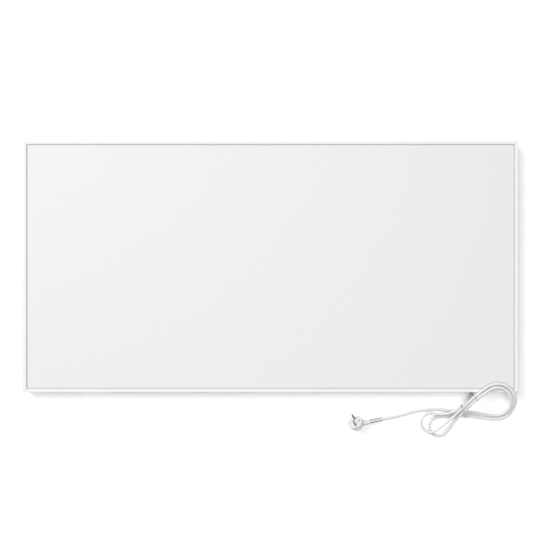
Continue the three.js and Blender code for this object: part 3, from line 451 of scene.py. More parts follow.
# A node group with a vector, a scale where one is given, and one result.
def newGroup(name, result, scale=None):
    group = bpy.data.node_groups.new(name, "ShaderNodeTree")
    group.interface.new_socket("Vector", in_out="INPUT", socket_type="NodeSocketVector")
    if scale is not None:
        socket = group.interface.new_socket("Scale", in_out="INPUT", socket_type="NodeSocketFloat")
        socket.default_value = scale
    group.interface.new_socket(result, in_out="OUTPUT", socket_type="NodeSocketFloat")
    inputs = group.nodes.new("NodeGroupInput").outputs
    return group, inputs, group.nodes.new("NodeGroupOutput").inputs[result]


def mathNode(tree, operation, a, b=None, c=None):
    node = tree.nodes.new("ShaderNodeMath")
    node.operation = operation
    for socket, value in zip(node.inputs, (a, b, c)):
        if value is None:
            continue
        if isinstance(value, (int, float)):
            socket.default_value = value
        else:
            tree.links.new(value, socket)
    return node.outputs[0]


def noiseNode(tree, vector, scale, detail=2.0, rough=0.5):
    node = tree.nodes.new("ShaderNodeTexNoise")
    node.inputs["Detail"].default_value = detail
    node.inputs["Roughness"].default_value = rough
    tree.links.new(vector, node.inputs["Vector"])
    if isinstance(scale, (int, float)):
        node.inputs["Scale"].default_value = scale
    else:
        tree.links.new(scale, node.inputs["Scale"])
    return node.outputs["Fac"]


# Mixes two colours: a tuple is a plain colour, and anything else is an output to link.
def mixNode(tree, factor, a, b):
    node = tree.nodes.new("ShaderNodeMix")
    node.data_type = "RGBA"
    node.clamp_factor = True
    tree.links.new(factor, node.inputs["Factor"])
    for name, color in (("A", a), ("B", b)):
        if isinstance(color, tuple):
            node.inputs[name].default_value = (*color, 1)
        else:
            tree.links.new(color, node.inputs[name])
    return node.outputs["Result"]


# Grain: fine noise plus noise ten times as wide, less one, so that it lies about 0.
def grainGroup():
    group, inputs, result = newGroup("grain", "Value", scale=800.0)
    fine = noiseNode(group, inputs["Vector"], inputs["Scale"], 3.0, 0.6)
    wide = mathNode(group, "MULTIPLY", inputs["Scale"], 0.1)
    coarse = noiseNode(group, inputs["Vector"], wide, 2.0)
    both = mathNode(group, "ADD", fine, coarse)
    group.links.new(mathNode(group, "SUBTRACT", both, 1.0), result)
    return group


# Orange peel: two rounded noises, the second at 2.7 times the frequency and half the height.
def peelGroup():
    group, inputs, result = newGroup("orangePeel", "Height", scale=900.0)
    first = noiseNode(group, inputs["Vector"], inputs["Scale"], 1.0)
    finer = mathNode(group, "MULTIPLY", inputs["Scale"], 2.7)
    second = noiseNode(group, inputs["Vector"], finer, 1.0)
    group.links.new(mathNode(group, "MULTIPLY_ADD", second, 0.5, first), result)
    return group


# Dust: where the surface faces up, broken by broad noise and specks.
def dustGroup():
    group, inputs, result = newGroup("dust", "Amount")
    geometry = group.nodes.new("ShaderNodeNewGeometry")
    split = group.nodes.new("ShaderNodeSeparateXYZ")
    group.links.new(geometry.outputs["Normal"], split.inputs["Vector"])
    upward = mathNode(group, "MAXIMUM", split.outputs["Z"], 0.0)
    patches = noiseNode(group, inputs["Vector"], 14.0, 4.0, 0.65)
    specks = noiseNode(group, inputs["Vector"], 900.0, 2.0, 0.5)
    mixed = mathNode(group, "MULTIPLY", patches, specks)
    group.links.new(mathNode(group, "MULTIPLY", mixed, upward), result)
    return group


# Wear: the cell borders of a fine Voronoi pattern, thinned out by broad noise, as light scuffs.
def wearGroup():
    group, inputs, result = newGroup("wear", "Amount", scale=60.0)
    cells = group.nodes.new("ShaderNodeTexVoronoi")
    cells.feature = "DISTANCE_TO_EDGE"
    group.links.new(inputs["Vector"], cells.inputs["Vector"])
    group.links.new(inputs["Scale"], cells.inputs["Scale"])
    thin = mathNode(group, "LESS_THAN", cells.outputs["Distance"], 0.012)
    broad = noiseNode(group, inputs["Vector"], 18.0, 3.0, 0.6)
    rare = mathNode(group, "GREATER_THAN", broad, 0.60)
    group.links.new(mathNode(group, "MULTIPLY", thin, rare), result)
    return group


groups = {"grain": grainGroup(), "peel": peelGroup(), "dust": dustGroup(), "wear": wearGroup()}


def groupNode(tree, name, vector, scale=None):
    node = tree.nodes.new("ShaderNodeGroup")
    node.node_tree = groups[name]
    tree.links.new(vector, node.inputs["Vector"])
    if scale is not None:
        node.inputs["Scale"].default_value = scale
    return node.outputs[0]


dustColor = (0.62, 0.60, 0.57)
glowReach = (0.002, 0.0015, 0.001)  # red, green and blue light in soft plastic, before the shader's scale


# One material: the base colour varied by grain, dust laid over it, roughness varied by the same
# grain, and a bump from grain or orange peel. Metals take wear in their roughness, and a relief's
# slots get painted shade: the colour is darkened by the piece's own per-vertex slot value.
def makeMaterial(name, color, roughness, metallic=0.0, grain=800, vary=0.03, roughVary=0.08,
                 bump=None, bumpScale=900, bumpHeight=0.02, dust=0.0, wear=0.0, wearScale=60.0,
                 subsurface=0.0, painted_slot_shade=0.0):
    material = bpy.data.materials.new(name)
    material.use_nodes = True
    tree = material.node_tree
    shader = tree.nodes["Principled BSDF"]
    shader.inputs["Metallic"].default_value = metallic
    if subsurface:
        shader.inputs["Subsurface Weight"].default_value = subsurface
        shader.inputs["Subsurface Radius"].default_value = glowReach
    coordinates = tree.nodes.new("ShaderNodeTexCoord").outputs["Object"]

    value = groupNode(tree, "grain", coordinates, grain)
    shade = mathNode(tree, "MULTIPLY_ADD", value, 0.9, 0.5)
    darker = tuple(c * (1 - vary) for c in color)
    lighter = tuple(min(1, c * (1 + vary)) for c in color)
    tone = mixNode(tree, shade, darker, lighter)
    rough = mathNode(tree, "MULTIPLY_ADD", value, roughVary, roughness)
    if dust:
        amount = mathNode(tree, "MULTIPLY", groupNode(tree, "dust", coordinates), dust)
        tone = mixNode(tree, amount, tone, dustColor)
        rough = mathNode(tree, "ADD", rough, amount)
    # Painted shade: the base colour darkens in a relief's slots by the piece's per-vertex slot value.
    if painted_slot_shade:
        slots = tree.nodes.new("ShaderNodeAttribute")
        slots.attribute_name = "painted_slot_shade"
        tone = mixNode(tree, slots.outputs["Fac"], tone, tuple(c * (1 - painted_slot_shade) for c in color))
    if wear:
        scuffs = groupNode(tree, "wear", coordinates, wearScale)
        rough = mathNode(tree, "MULTIPLY_ADD", scuffs, wear, rough)
    tree.links.new(tone, shader.inputs["Base Color"])
    tree.links.new(rough, shader.inputs["Roughness"])
    if bump:
        node = tree.nodes.new("ShaderNodeBump")
        node.inputs["Strength"].default_value = 1.0
        node.inputs["Distance"].default_value = bumpHeight * MM
        tree.links.new(groupNode(tree, bump, coordinates, bumpScale), node.inputs["Height"])
        tree.links.new(node.outputs["Normal"], shader.inputs["Normal"])
    return material


looks = {
    "front_enamel": dict(color=(0.645, 0.645, 0.64), roughness=0.50, grain=700, vary=0.012, roughVary=0.10,
                         bump="peel", bumpScale=1100, bumpHeight=0.05, dust=0.02),
    "frame_coat": dict(color=(0.69, 0.69, 0.688), roughness=0.36, grain=900, vary=0.01, roughVary=0.06,
                       bump="peel", bumpScale=800, bumpHeight=0.03, dust=0.02),
    "seal": dict(color=(0.46, 0.465, 0.47), roughness=0.75, grain=1500, vary=0.08, bump="grain",
                 bumpScale=1500, bumpHeight=0.05),
    "film": dict(color=(0.03, 0.028, 0.027), roughness=0.6, vary=0.2, bump="grain"),
    "copper": dict(color=(0.75, 0.42, 0.26), roughness=0.32, metallic=1.0, vary=0.10, roughVary=0.15),
    "foil": dict(color=(0.80, 0.81, 0.82), roughness=0.28, metallic=1.0, vary=0.05, roughVary=0.2,
                 bump="grain", bumpScale=120, bumpHeight=0.3),
    "board": dict(color=(0.70, 0.66, 0.55), roughness=0.95, vary=0.12, grain=400, bump="grain",
                  bumpScale=500, bumpHeight=0.3),
    "back_sheet": dict(color=(0.68, 0.68, 0.675), roughness=0.5, grain=600, vary=0.015, bump="peel",
                       bumpScale=900, bumpHeight=0.04),
    "zinc": dict(color=(0.62, 0.64, 0.66), roughness=0.38, metallic=1.0, grain=350, vary=0.10, roughVary=0.22,
                 bump="grain", bumpScale=900, bumpHeight=0.01, wear=0.25),
    "white_plastic": dict(color=(0.68, 0.68, 0.67), roughness=0.45, grain=1600, vary=0.01, bump="grain",
                          bumpScale=1800, bumpHeight=0.03),
    "black_plastic": dict(color=(0.02, 0.021, 0.022), roughness=0.45, vary=0.15, bump="grain",
                          bumpScale=1500, bumpHeight=0.02),
    "cord_sheath": dict(color=(0.68, 0.68, 0.675), roughness=0.42, grain=500, vary=0.015, roughVary=0.12,
                        bump="peel", bumpScale=700, bumpHeight=0.04, dust=0.03, subsurface=0.05),
    "plug_plastic": dict(color=(0.68, 0.68, 0.67), roughness=0.34, grain=1200, vary=0.012, roughVary=0.10,
                         bump="grain", bumpScale=1600, bumpHeight=0.02, dust=0.02, subsurface=0.05),
    # The relief's plastic darkens its slots by 0.72 at full depth, as painted shade.
    "relief_plastic": dict(color=(0.68, 0.68, 0.67), roughness=0.40, grain=1200, vary=0.012, roughVary=0.10,
                           bump="grain", bumpScale=1600, bumpHeight=0.02, dust=0.02, painted_slot_shade=0.72),
    "nickel": dict(color=(0.27, 0.265, 0.255), roughness=0.30, metallic=1.0, grain=900, vary=0.08,
                   roughVary=0.18, bump="grain", bumpScale=1200, bumpHeight=0.006, wear=0.2),
    "brown_core": dict(color=(0.12, 0.05, 0.025), roughness=0.4, vary=0.08),
    "blue_core": dict(color=(0.03, 0.10, 0.30), roughness=0.4, vary=0.08),
    "earth_core": dict(color=(0.25, 0.42, 0.04), roughness=0.4, vary=0.3, grain=200),
    "tie_band": dict(color=(0.60, 0.60, 0.60), roughness=0.4, grain=900, vary=0.06, dust=0.05),
    "tie": dict(color=(0.045, 0.046, 0.05), roughness=0.5, grain=1200, vary=0.2, bump="grain",
                bumpScale=1600, bumpHeight=0.03),
}
materials = {name: makeMaterial(name, **settings) for name, settings in looks.items()}
print("materials made")


# Every solid of the frame takes the material of its slot.
def dressNodes():
    slots = {entry["node"]: entry["material_slot"] for entry in frame["record"]["subparts"]}
    for name, node in frame["nodes"].items():
        node.data.materials.clear()
        node.data.materials.append(materials[slots[name]])


# The cord.

cordLook = {"sides": 28, "step": 1.4, "inside": 1.5, "pathStep": 8.0,
            "waver": [(0.02, 9.0, 0.0), (0.015, 3.7, 1.0)]}


# The sheath: a round tube whose radius wavers by two sines along it, each of a height, reach and phase.
def addCord():
    start = cordLine[:1] - unit(cordLine[1:2] - cordLine[:1]) * cordLook["inside"]
    line = evenly(np.concatenate([start, cordLine]), cordLook["step"])
    along = lengthsAlong(line)
    waver = sum(height * np.sin(along / reach + phase) for height, reach, phase in cordLook["waver"])
    radius = (cord["diameter"] / 2 + waver)[:, None]
    piece = ringBody("mains_cord", ringsAlong(line, roundSection(cordLook["sides"]), radius))
    return settle(piece, "cord_sheath", "cord_lead", "cord_bundle", "cord_tail"), line


# Frame and seal.

frameLook = {"wall": 1.4, "lip": 8.5, "rearLip": 14.0, "rearThickness": 1.4, "inner": 9.5, "shelf": 36.2,
             "lipUnder": 38.6, "outerRound": 1.2, "lipRound": 0.5, "lipEdge": 0.3, "edge": 0.4,
             "mitreGap": 0.2, "chamberMiddle": 4.85}
# Each rail's name, its quarter turns from the bottom one, its length and the panel's size across it.
rails = [("bottom", 0, panel["length"], panel["height"]), ("right", 1, panel["height"], panel["length"]),
         ("top", 2, panel["length"], panel["height"]), ("left", 3, panel["height"], panel["length"])]


# The rail's outline, inward from the outer face and height, with every edge the hand meets rounded.
def railOutline():
    f = frameLook
    back, front = panel["back"], panel["front"]
    rear = back + f["rearThickness"]
    e, lip, lipEdge, outer = f["edge"], f["lipRound"], f["lipEdge"], f["outerRound"]
    return np.concatenate([
        arc(e, back + e, e, 180, 270, 5),
        arc(f["rearLip"] - e, back + e, e, 270, 360, 5),
        arc(f["rearLip"] - e, rear - e, e, 0, 90, 5),
        [[f["inner"], rear], [f["inner"], f["shelf"]], [f["wall"], f["shelf"]], [f["wall"], f["lipUnder"]]],
        arc(f["lip"] - lipEdge, f["lipUnder"] + lipEdge, lipEdge, 270, 360, 4),
        arc(f["lip"] - lip, front - lip, lip, 0, 90, 6),
        arc(outer, front - outer, outer, 90, 180, 10),
    ])


# Each rail is its outline at two ends, which step back along the rail as they go inward.
def addFrame():
    outline = railOutline()
    for name, turn, length, across in rails:
        reach = length / 2 - outline[:, 0] - frameLook["mitreGap"]
        rings = np.stack([np.stack([side * reach, outline[:, 0] - across / 2, outline[:, 1]], axis=1)
                          for side in (-1, 1)])
        rail = ringBody(f"rail_{name}", rings, smoothAngle=40)
        placed(rail, turn=turn * math.pi / 2)
        settle(evenShading(rail), "frame_coat", f"frame_{name}")


sealLook = {"outer": 1.7, "inner": 11.0, "bottom": 37.6, "top": 38.4, "edge": 0.3}


# The seal runs round in one loop: its section at each of the four corners.
def addSeal():
    s, e = sealLook, sealLook["edge"]
    section = np.concatenate([
        [[s["outer"], s["top"]], [s["outer"], s["bottom"]]],
        arc(s["inner"] - e, s["bottom"] + e, e, 270, 360, 5),
        arc(s["inner"] - e, s["top"] - e, e, 0, 90, 5),
    ])
    rings = np.stack([np.stack([sx * (panel["length"] / 2 - section[:, 0]),
                                sy * (panel["height"] / 2 - section[:, 0]), section[:, 1]], axis=1)
                      for sx, sy in ((-1, -1), (1, -1), (1, 1), (-1, 1))])
    seal = ringBody("seal_loop", rings, closed=True, smoothAngle=50)
    settle(evenShading(seal), "seal", "front_seal")


# Screws.

screwLook = {"shank": 1.95, "head": 3.7, "headHeight": 2.2}
smallScrewLook = {"shank": 1.45, "head": 2.7, "headHeight": 1.5}
keyScrew = {"length": 11.0, "fromCorner": 30.0, "seat": 17.7}
bracketScrew = {"length": 9.5, "across": 16.0, "seat": 15.9}
coverScrew = {"length": 9.5, "places": [(-41.9, 131.9), (41.9, 76.1)], "seat": 1.7}


# A pan head seen from below, its seat at zero and its shank upward, with a cross recess.
def screwPiece(name, look, length):
    r, head, h = look["shank"], look["head"], look["headHeight"]
    profile = [[-h, head * 0.45], [-h * 0.98, head * 0.6], [-h * 0.88, head * 0.78], [-h * 0.68, head * 0.92],
               [-h * 0.4, head * 0.99], [-0.12, head], [0, head - 0.12], [0, r], [length - r, r],
               [length, r * 0.3]]
    rings = turnedRings(profile, 48)[..., [1, 2, 0]]
    piece = ringBody(name, rings, smoothAngle=30)
    wide, deep = head * 0.13, h * 0.62
    reach = head * 0.56
    return carved(piece,
                  blockPiece("slot_a", [-reach, -wide, -h - 1], [reach, wide, -h + deep]),
                  blockPiece("slot_b", [-wide, -reach, -h - 1], [wide, reach, -h + deep]))


# Copies of one screw, each turned its own way as a driver leaves it.
def addScrews(model, places):
    for number, (node, x, y, z) in enumerate(places):
        piece = bpy.data.objects.new(f"{node}_cross", model.data.copy())
        bpy.context.scene.collection.objects.link(piece)
        settle(placed(piece, (x, y, z), turn=0.9 * number + 0.4), "zinc", node)
    bpy.data.objects.remove(model)


# A place about the panel's middle after quarter turns.
def turnedPlace(x, y, turn):
    c, s = round(math.cos(turn * math.pi / 2)), round(math.sin(turn * math.pi / 2))
    return c * x - s * y, s * x + c * y


def addAllScrews():
    middle = frameLook["chamberMiddle"]
    cornerPlaces = []
    for name, turn, length, across in rails:
        x, y = turnedPlace(keyScrew["fromCorner"] - length / 2, middle - across / 2, turn)
        cornerPlaces.append((f"corner_screw_{name}", x, y, keyScrew["seat"]))
    addScrews(screwPiece("corner_model", screwLook, keyScrew["length"]), cornerPlaces)

    bracketPlaces = []
    for row, turn in (("lower", 0), ("upper", 2)):
        for end in (-1, 1):
            for hand in (-1, 1):
                along = end * bracketLook["fromMiddle"] + hand * bracketScrew["across"]
                x, y = turnedPlace(along, middle - panel["height"] / 2, turn)
                column = "left" if x < 0 else "right"
                number = 1 if (hand < 0) == (turn == 0) else 2
                bracketPlaces.append((f"bracket_screw_{row}_{column}_{number}", x, y, bracketScrew["seat"]))
    addScrews(screwPiece("bracket_model", screwLook, bracketScrew["length"]), bracketPlaces)

    coverPlaces = [(f"cover_screw_{number}", boxCorner[0] + x, boxCorner[1] + y, coverScrew["seat"])
                   for number, (x, y) in enumerate(coverScrew["places"], 1)]
    addScrews(screwPiece("cover_model", smallScrewLook, coverScrew["length"]), coverPlaces)


# Hanger brackets.

bracketLook = {"width": 56.0, "thickness": 1.5, "bend": 2.25, "flange": 9.0, "web": 11.7, "face": 34.5,
               "cornerRound": 5.0, "edge": 0.25, "hole": 2.25, "fromMiddle": 430.0, "fromEdge": 1.0,
               "flangeHeight": 16.95, "bendCuts": 9}
keyhole = {"radius": 5.0, "slotHalf": 2.75, "slotRun": 11.0, "lowerFromEdge": 27.0, "upperFromEdge": 38.0}
bendOut = bracketLook["fromEdge"] + bracketLook["flange"] + 2 * bracketLook["bend"]


# The keyhole in the unfolded sheet: a round end, and a slot with a round end up the wall from it.
def keyholeOutline(y, slotUp):
    radius, half = keyhole["radius"], keyhole["slotHalf"]
    opening = math.degrees(math.asin(half / radius))
    ring = arc(0, 0, radius, 90 + opening, 450 - opening, 34)
    tip = arc(0, keyhole["slotRun"], half, 0, 180, 14)
    outline = np.concatenate([ring, tip])
    outline[:, 1] *= slotUp
    return outline + np.array([0, y])


# Folds the flat sheet: flange, quarter bend down, web, quarter bend inward, wall face. On the flat it
# runs straight, and in a bend the place is the bend's middle plus its radius times sine and cosine.
def foldedBracket(flat):
    t = bracketLook
    b, quarter = t["bend"], t["bend"] * math.pi / 2
    bendIn = bendOut - 2 * b
    high, low = t["flangeHeight"], t["thickness"] / 2
    x, u, w = flat.T
    stations = np.cumsum([t["flange"], quarter, t["web"], quarter])
    first = np.clip((u - stations[0]) / b, 0, math.pi / 2)
    second = np.clip((u - stations[2]) / b, 0, math.pi / 2)
    before = [u <= station for station in stations]
    y = np.select(before, [t["fromEdge"] + u, bendIn + (b + w) * np.sin(first), bendIn + b + w,
                           bendOut - (b - w) * np.cos(second)], bendOut + u - stations[3])
    z = np.select(before, [high + w, high - b + (b + w) * np.cos(first), high - b - (u - stations[1]),
                           low + b - (b - w) * np.sin(second)], low + w)
    return np.stack([x, y, z], axis=1)


def bracketPiece(name, slotUp):
    t = bracketLook
    quarter = t["bend"] * math.pi / 2
    faceStart = t["flange"] + quarter + t["web"] + quarter
    half = t["width"] / 2
    outline = roundedRectangle(-half, 0, half, faceStart + t["face"], t["cornerRound"])
    holeAt = frameLook["chamberMiddle"] - t["fromEdge"]
    holes = [circle(side * bracketScrew["across"], holeAt, t["hole"]) for side in (-1, 1)]
    keyholeAt = keyhole["lowerFromEdge" if slotUp > 0 else "upperFromEdge"]
    slot = keyholeOutline(faceStart + keyholeAt - bendOut, slotUp)
    piece = sheetPiece(name, [outline, *holes, slot], t["thickness"], t["edge"])
    work = bmesh.new()
    work.from_mesh(piece.data)
    for start in (t["flange"], t["flange"] + quarter + t["web"]):
        for place in np.linspace(start, start + quarter, t["bendCuts"]):
            bmesh.ops.bisect_plane(work, geom=work.verts[:] + work.edges[:] + work.faces[:], dist=1e-7,
                                   plane_co=(0, place * MM, 0), plane_no=(0, 1, 0))
    work.to_mesh(piece.data)
    work.free()
    setVertices(piece, foldedBracket(vertexArray(piece)))
    piece.data.set_sharp_from_angle(angle=math.radians(30))
    return piece


def addBrackets():
    for row, turn, slotUp in (("lower", 0, 1), ("upper", 2, -1)):
        for end in (-1, 1):
            x, y = turnedPlace(end * bracketLook["fromMiddle"], -panel["height"] / 2, turn)
            column = "left" if x < 0 else "right"
            piece = bracketPiece(f"bracket_{row}_{column}", slotUp)
            placed(piece, (x, y, 0), turn * math.pi / 2)
            settle(evenShading(piece), "zinc", f"hanger_bracket_{row}_{column}")


# Junction box and cord sleeve.

boxLook = {"left": -48.0, "right": 48.0, "near": 70.0, "far": 138.0, "wall": 2.0, "bottom": 4.2, "top": 19.3,
           "round": 5.0, "edge": 1.0, "mouth": 5.5, "cutDepth": 30.0}
coverLook = {"thickness": 1.9, "middle": 2.95, "edge": 0.5, "hole": 1.75}
boxCorner = corner + np.array([-100.0, 0, 0])
cordExit = boxCorner + np.array([0, boxLook["near"], cord["entry"]])  # the middle of the box's cord hole


def addJunctionBox():
    t = boxLook
    outline = roundedRectangle(t["left"], t["near"], t["right"], t["far"], t["round"])
    shell = placed(sheetPiece("box_shell", [outline], t["top"] - t["bottom"], t["edge"]),
                   (0, 0, (t["top"] + t["bottom"]) / 2))
    w, deep = t["wall"], t["cutDepth"]
    inside = roundedRectangle(t["left"] + w, t["near"] + w, t["right"] - w, t["far"] - w, t["round"] - w)
    hollow = placed(sheetPiece("box_hollow", [inside], deep, 0.5), (0, 0, t["top"] - w - deep / 2))
    mouth = rodPiece("box_mouth", t["mouth"], -3 * w, 3 * w)
    setVertices(mouth, vertexArray(mouth)[:, [1, 0, 2]] + (cordExit - boxCorner))
    shell = placed(carved(shell, hollow, mouth), boxCorner)
    settle(evenShading(shell), "white_plastic", "junction_box")

    c = coverLook
    holes = [circle(x, y, c["hole"]) for x, y in coverScrew["places"]]
    cover = placed(sheetPiece("box_lid", [outline, *holes], c["thickness"], c["edge"]),
                   boxCorner + np.array([0, 0, c["middle"]]))
    settle(evenShading(cover), "white_plastic", "junction_box_cover")


slotLook = {"opens": (0.14, 0.24), "closes": (0.80, 0.90), "halfAngle": 20, "soft": 3}


# Slots in a strain relief: short bites out of the radius in four rows, a quarter turn apart.
# The bite is the product of a window along the relief and one round it.
def slotBites(along, sides, pitch, depth, start, end):
    angle = np.degrees(np.arange(sides) * 2 * np.pi / sides)
    share = ((along - start) / pitch) % 1.0
    lengthwise = smoothstep(share, *slotLook["opens"]) * (1 - smoothstep(share, *slotLook["closes"]))
    lengthwise = lengthwise * (along > start) * (along < end)
    offRow = np.abs((angle % 90) - 45)
    half, soft = slotLook["halfAngle"], slotLook["soft"]
    around = 1 - smoothstep(offRow, half - soft, half + soft)
    return depth * lengthwise[:, None] * around[None, :]


# The lip's and the mouth's rows are places along Y from the box's wall and radii.
sleeveLook = {"from": 3.0, "length": 30.8, "root": 5.9, "tip": 4.7, "rows": 90, "sides": 56, "pitch": 4.4,
              "depth": 1.2, "slots": (2.0, 27.5), "taper": (-4.0, 30.8),
              "lip": [[4.4, 5.8], [4.3, 6.1], [2.3, 6.1], [2.2, 5.2], [-0.3, 5.2], [-0.32, 5.8],
                      [-0.6, 6.1], [-2.3, 6.1], [-2.6, 5.9]],
              "mouth": [[-34.0, 4.5], [-34.05, 3.75]]}


# The sleeve is rings along Y: a lip that grips the wall, a slotted taper, and a mouth round the cord.
def addSleeve():
    t = sleeveLook
    section = roundSection(t["sides"])

    def ringsOnY(places, radius):
        return ringsAlong(places[:, None] * np.array([0.0, 1.0, 0.0]), section, radius)

    along = np.linspace(0, t["length"], t["rows"])
    taper = lerp(t["root"], t["tip"], smoothstep(along, *t["taper"]))
    bites = slotBites(along, t["sides"], t["pitch"], t["depth"], *t["slots"])
    main = ringsOnY(-t["from"] - along, taper[:, None] - bites)
    lip, mouth = (ringsOnY(rows[:, 0], rows[:, 1:]) for rows in (np.array(t["lip"]), np.array(t["mouth"])))
    piece = ringBody("sleeve_relief", np.concatenate([lip, main, mouth]) + cordExit, smoothAngle=40)
    # Painted shade: the slot depths, scaled to one, darken the sleeve's slots.
    painted_slot_shade = np.concatenate([np.zeros(lip.shape[:2]), bites, np.zeros(mouth.shape[:2])])
    setAttribute(piece, "painted_slot_shade", painted_slot_shade / t["depth"])
    return settle(piece, "cord_sheath", "cord_sleeve", look="relief_plastic")


# Plug.

plugLook = {"rim": 18.7, "pitch": 46.0, "turn": 30.0, "roll": 16.0, "fromCord": (-70.0, -6.0),
            "floorGap": 0.1, "sides": 112, "ribs": 28, "ribDepth": 0.38, "gripFrom": (11.5, 13.0),
            "gripTo": (18.5, 20.5), "flank": (0.45, 0.65), "pinRadius": 2.4, "pinReach": 19.0,
            "pinSeat": 8.0, "pinSpacing": 19.0}
# The relief's slots start along its line from the body, and end back from its end at the cord, as the
# collar starts.
reliefLook = {"depth": 16.0, "inside": 6.0, "root": 7.1, "tip": 4.9, "gap": 0.3, "slotsFrom": 26.0,
              "slotsTo": 3.0, "slotPitch": 4.4, "slotDepth": 2.0, "collar": 0.3, "collarFrom": (2.6, 2.2),
              "mouth": [[4.5], [3.7]]}
# Cuts in from the face: each has its end behind the face, and a rim cut its half width and depth.
plugCuts = {"hole": {"radius": 2.4, "end": 7.5, "up": 10.0}, "bore": {"radius": 2.7, "end": 8.3},
            "groove": {"half": 2.8, "deep": 2.1, "end": 11.1},
            "guide": {"half": 2.6, "deep": 2.6, "end": 7.5}}
stripLook = {"arm": (1.2, 9.6), "out": 17.25, "bow": 0.35, "back": 10.4, "bendOut": 16.5,
             "halfWidth": 2.5, "halfThickness": 0.38}


# The body's outline: rows of depth behind the face and radius, a rim and then a rounded back.
def plugProfile():
    return splinePoints(np.array([
        [0.55, 12.6, 0], [0.5, 13.4, 0], [0.05, 13.9, 0], [0, 14.4, 0], [0, 16.6, 0], [0.02, 17.6, 0],
        [0.2, 18.35, 0], [0.8, 18.7, 0], [1.6, 18.7, 0], [4.5, 18.7, 0], [7.6, 18.7, 0], [8.5, 18.6, 0],
        [8.95, 18.1, 0], [9.4, 17.3, 0], [10.4, 16.75, 0], [12.0, 16.5, 0], [14.0, 16.2, 0],
        [16.0, 15.8, 0], [18.2, 15.1, 0], [20.4, 14.0, 0], [22.3, 12.2, 0], [23.8, 9.9, 0],
        [24.8, 7.0, 0], [25.4, 3.5, 0], [25.6, 0.4, 0]]), 5)[:, :2]


# The plug's own frame: X back from the face, Y along the pins, Z where the cord leaves.
# It lies on its rounded back, its face looking up by the pitch, and the roll lifts the cord's side.
def plugPlace():
    t = plugLook
    pitch, turn, roll = (math.radians(t[name]) for name in ("pitch", "turn", "roll"))
    out = np.array([math.cos(turn), math.sin(turn), 0])
    back = np.array([out[1] * math.cos(pitch), -out[0] * math.cos(pitch), -math.sin(pitch)])
    depth, radius = plugProfile().T
    height = (depth * math.sin(pitch) + radius * math.cos(pitch)).max() + t["floorGap"]
    origin = np.array([*(route[0][:2] + t["fromCord"]), height])
    rolled = np.array([[1, 0, 0], [0, math.cos(roll), -math.sin(roll)], [0, math.sin(roll), math.cos(roll)]])
    return np.stack([back, np.cross(out, back), out], axis=1) @ rolled, origin


# The relief's middle line: a cubic curve, square out of the body and then down to the cord.
def reliefLine(turn, origin, count=160):
    t = reliefLook
    ahead = unit(route[1] - route[0])
    end = route[0] - t["gap"] * ahead
    root = turn @ np.array([t["depth"], 0, t["inside"]]) + origin
    reach = np.linalg.norm(end - root) / 3
    share = np.linspace(0, 1, count)[:, None]
    return ((1 - share) ** 3 * root + 3 * share * (1 - share) ** 2 * (root + turn[:, 2] * reach)
            + 3 * share ** 2 * (1 - share) * (end - ahead * reach) + share ** 3 * end)


def inPlugPlace(piece, turn, origin):
    setVertices(piece, vertexArray(piece) @ turn.T + origin)
    return piece


# The body: the outline turned, less fine ribs on the flanks of the back, which are squared cosines.
def plugShell():
    t = plugLook
    profile = plugProfile()
    angle = np.arange(t["sides"]) * 2 * np.pi / t["sides"]
    grip = smoothstep(profile[:, 0], *t["gripFrom"]) * (1 - smoothstep(profile[:, 0], *t["gripTo"]))
    flank = smoothstep(np.abs(np.sin(angle)), *t["flank"])
    ribs = (0.5 + 0.5 * np.cos(t["ribs"] * angle)) ** 2 * flank
    change = -t["ribDepth"] * grip[:, None] * ribs[None, :]
    return ringBody("plug_shell", turnedRings(profile, t["sides"], change), smoothAngle=45)


# The relief: a taper along its line with slots outside the body and a collar at the cord.
def plugRelief(turn, origin):
    t = reliefLook
    section = roundSection(plugLook["sides"])
    line = evenly(reliefLine(turn, origin), 0.4)
    along = lengthsAlong(line)
    whole = along[-1]
    radius = lerp(t["root"], t["tip"], along / whole)
    bites = slotBites(along, len(section), t["slotPitch"], t["slotDepth"], t["slotsFrom"],
                      whole - t["slotsTo"])
    collar = t["collar"] * smoothstep(along, *(whole - before for before in t["collarFrom"]))
    relief = ringsAlong(line, section, (radius - t["gap"] + collar)[:, None] - bites)
    last = line[-1:] + (line[-1:] - line[-2:-1]) * np.array([[0.02], [0.04]])
    mouth = ringsAlong(last, section, np.array(t["mouth"]))
    piece = ringBody("plug_relief", np.concatenate([relief, mouth]), smoothAngle=45)
    # Painted shade: the slot depths, scaled to one, darken the relief's slots.
    setAttribute(piece, "painted_slot_shade", np.concatenate([bites, 0 * bites[:2]]) / t["slotDepth"])
    return piece


# The low and high end of a cut in the rim's one side, from its depth to clear of the body.
def rimSpan(side, depth):
    return sorted((side * (plugLook["rim"] - depth), side * (plugLook["rim"] + 1)))


def plugTools():
    hole, bore, groove, guide = plugCuts["hole"], plugCuts["bore"], plugCuts["groove"], plugCuts["guide"]
    tools = [rodPiece("hole", hole["radius"], -1, hole["end"], z=hole["up"])]
    for side in (-1, 1):
        tools.append(rodPiece("bore", bore["radius"], -1, bore["end"], y=side * plugLook["pinSpacing"] / 2))
    for side in (-1, 1):
        low, high = rimSpan(side, groove["deep"])
        tools.append(blockPiece("groove", [-1, -groove["half"], low], [groove["end"], groove["half"], high]))
    for side in (-1, 1):
        low, high = rimSpan(side, guide["deep"])
        tools.append(blockPiece("guide", [-1, low, -guide["half"]], [guide["end"], high, guide["half"]]))
    return tools


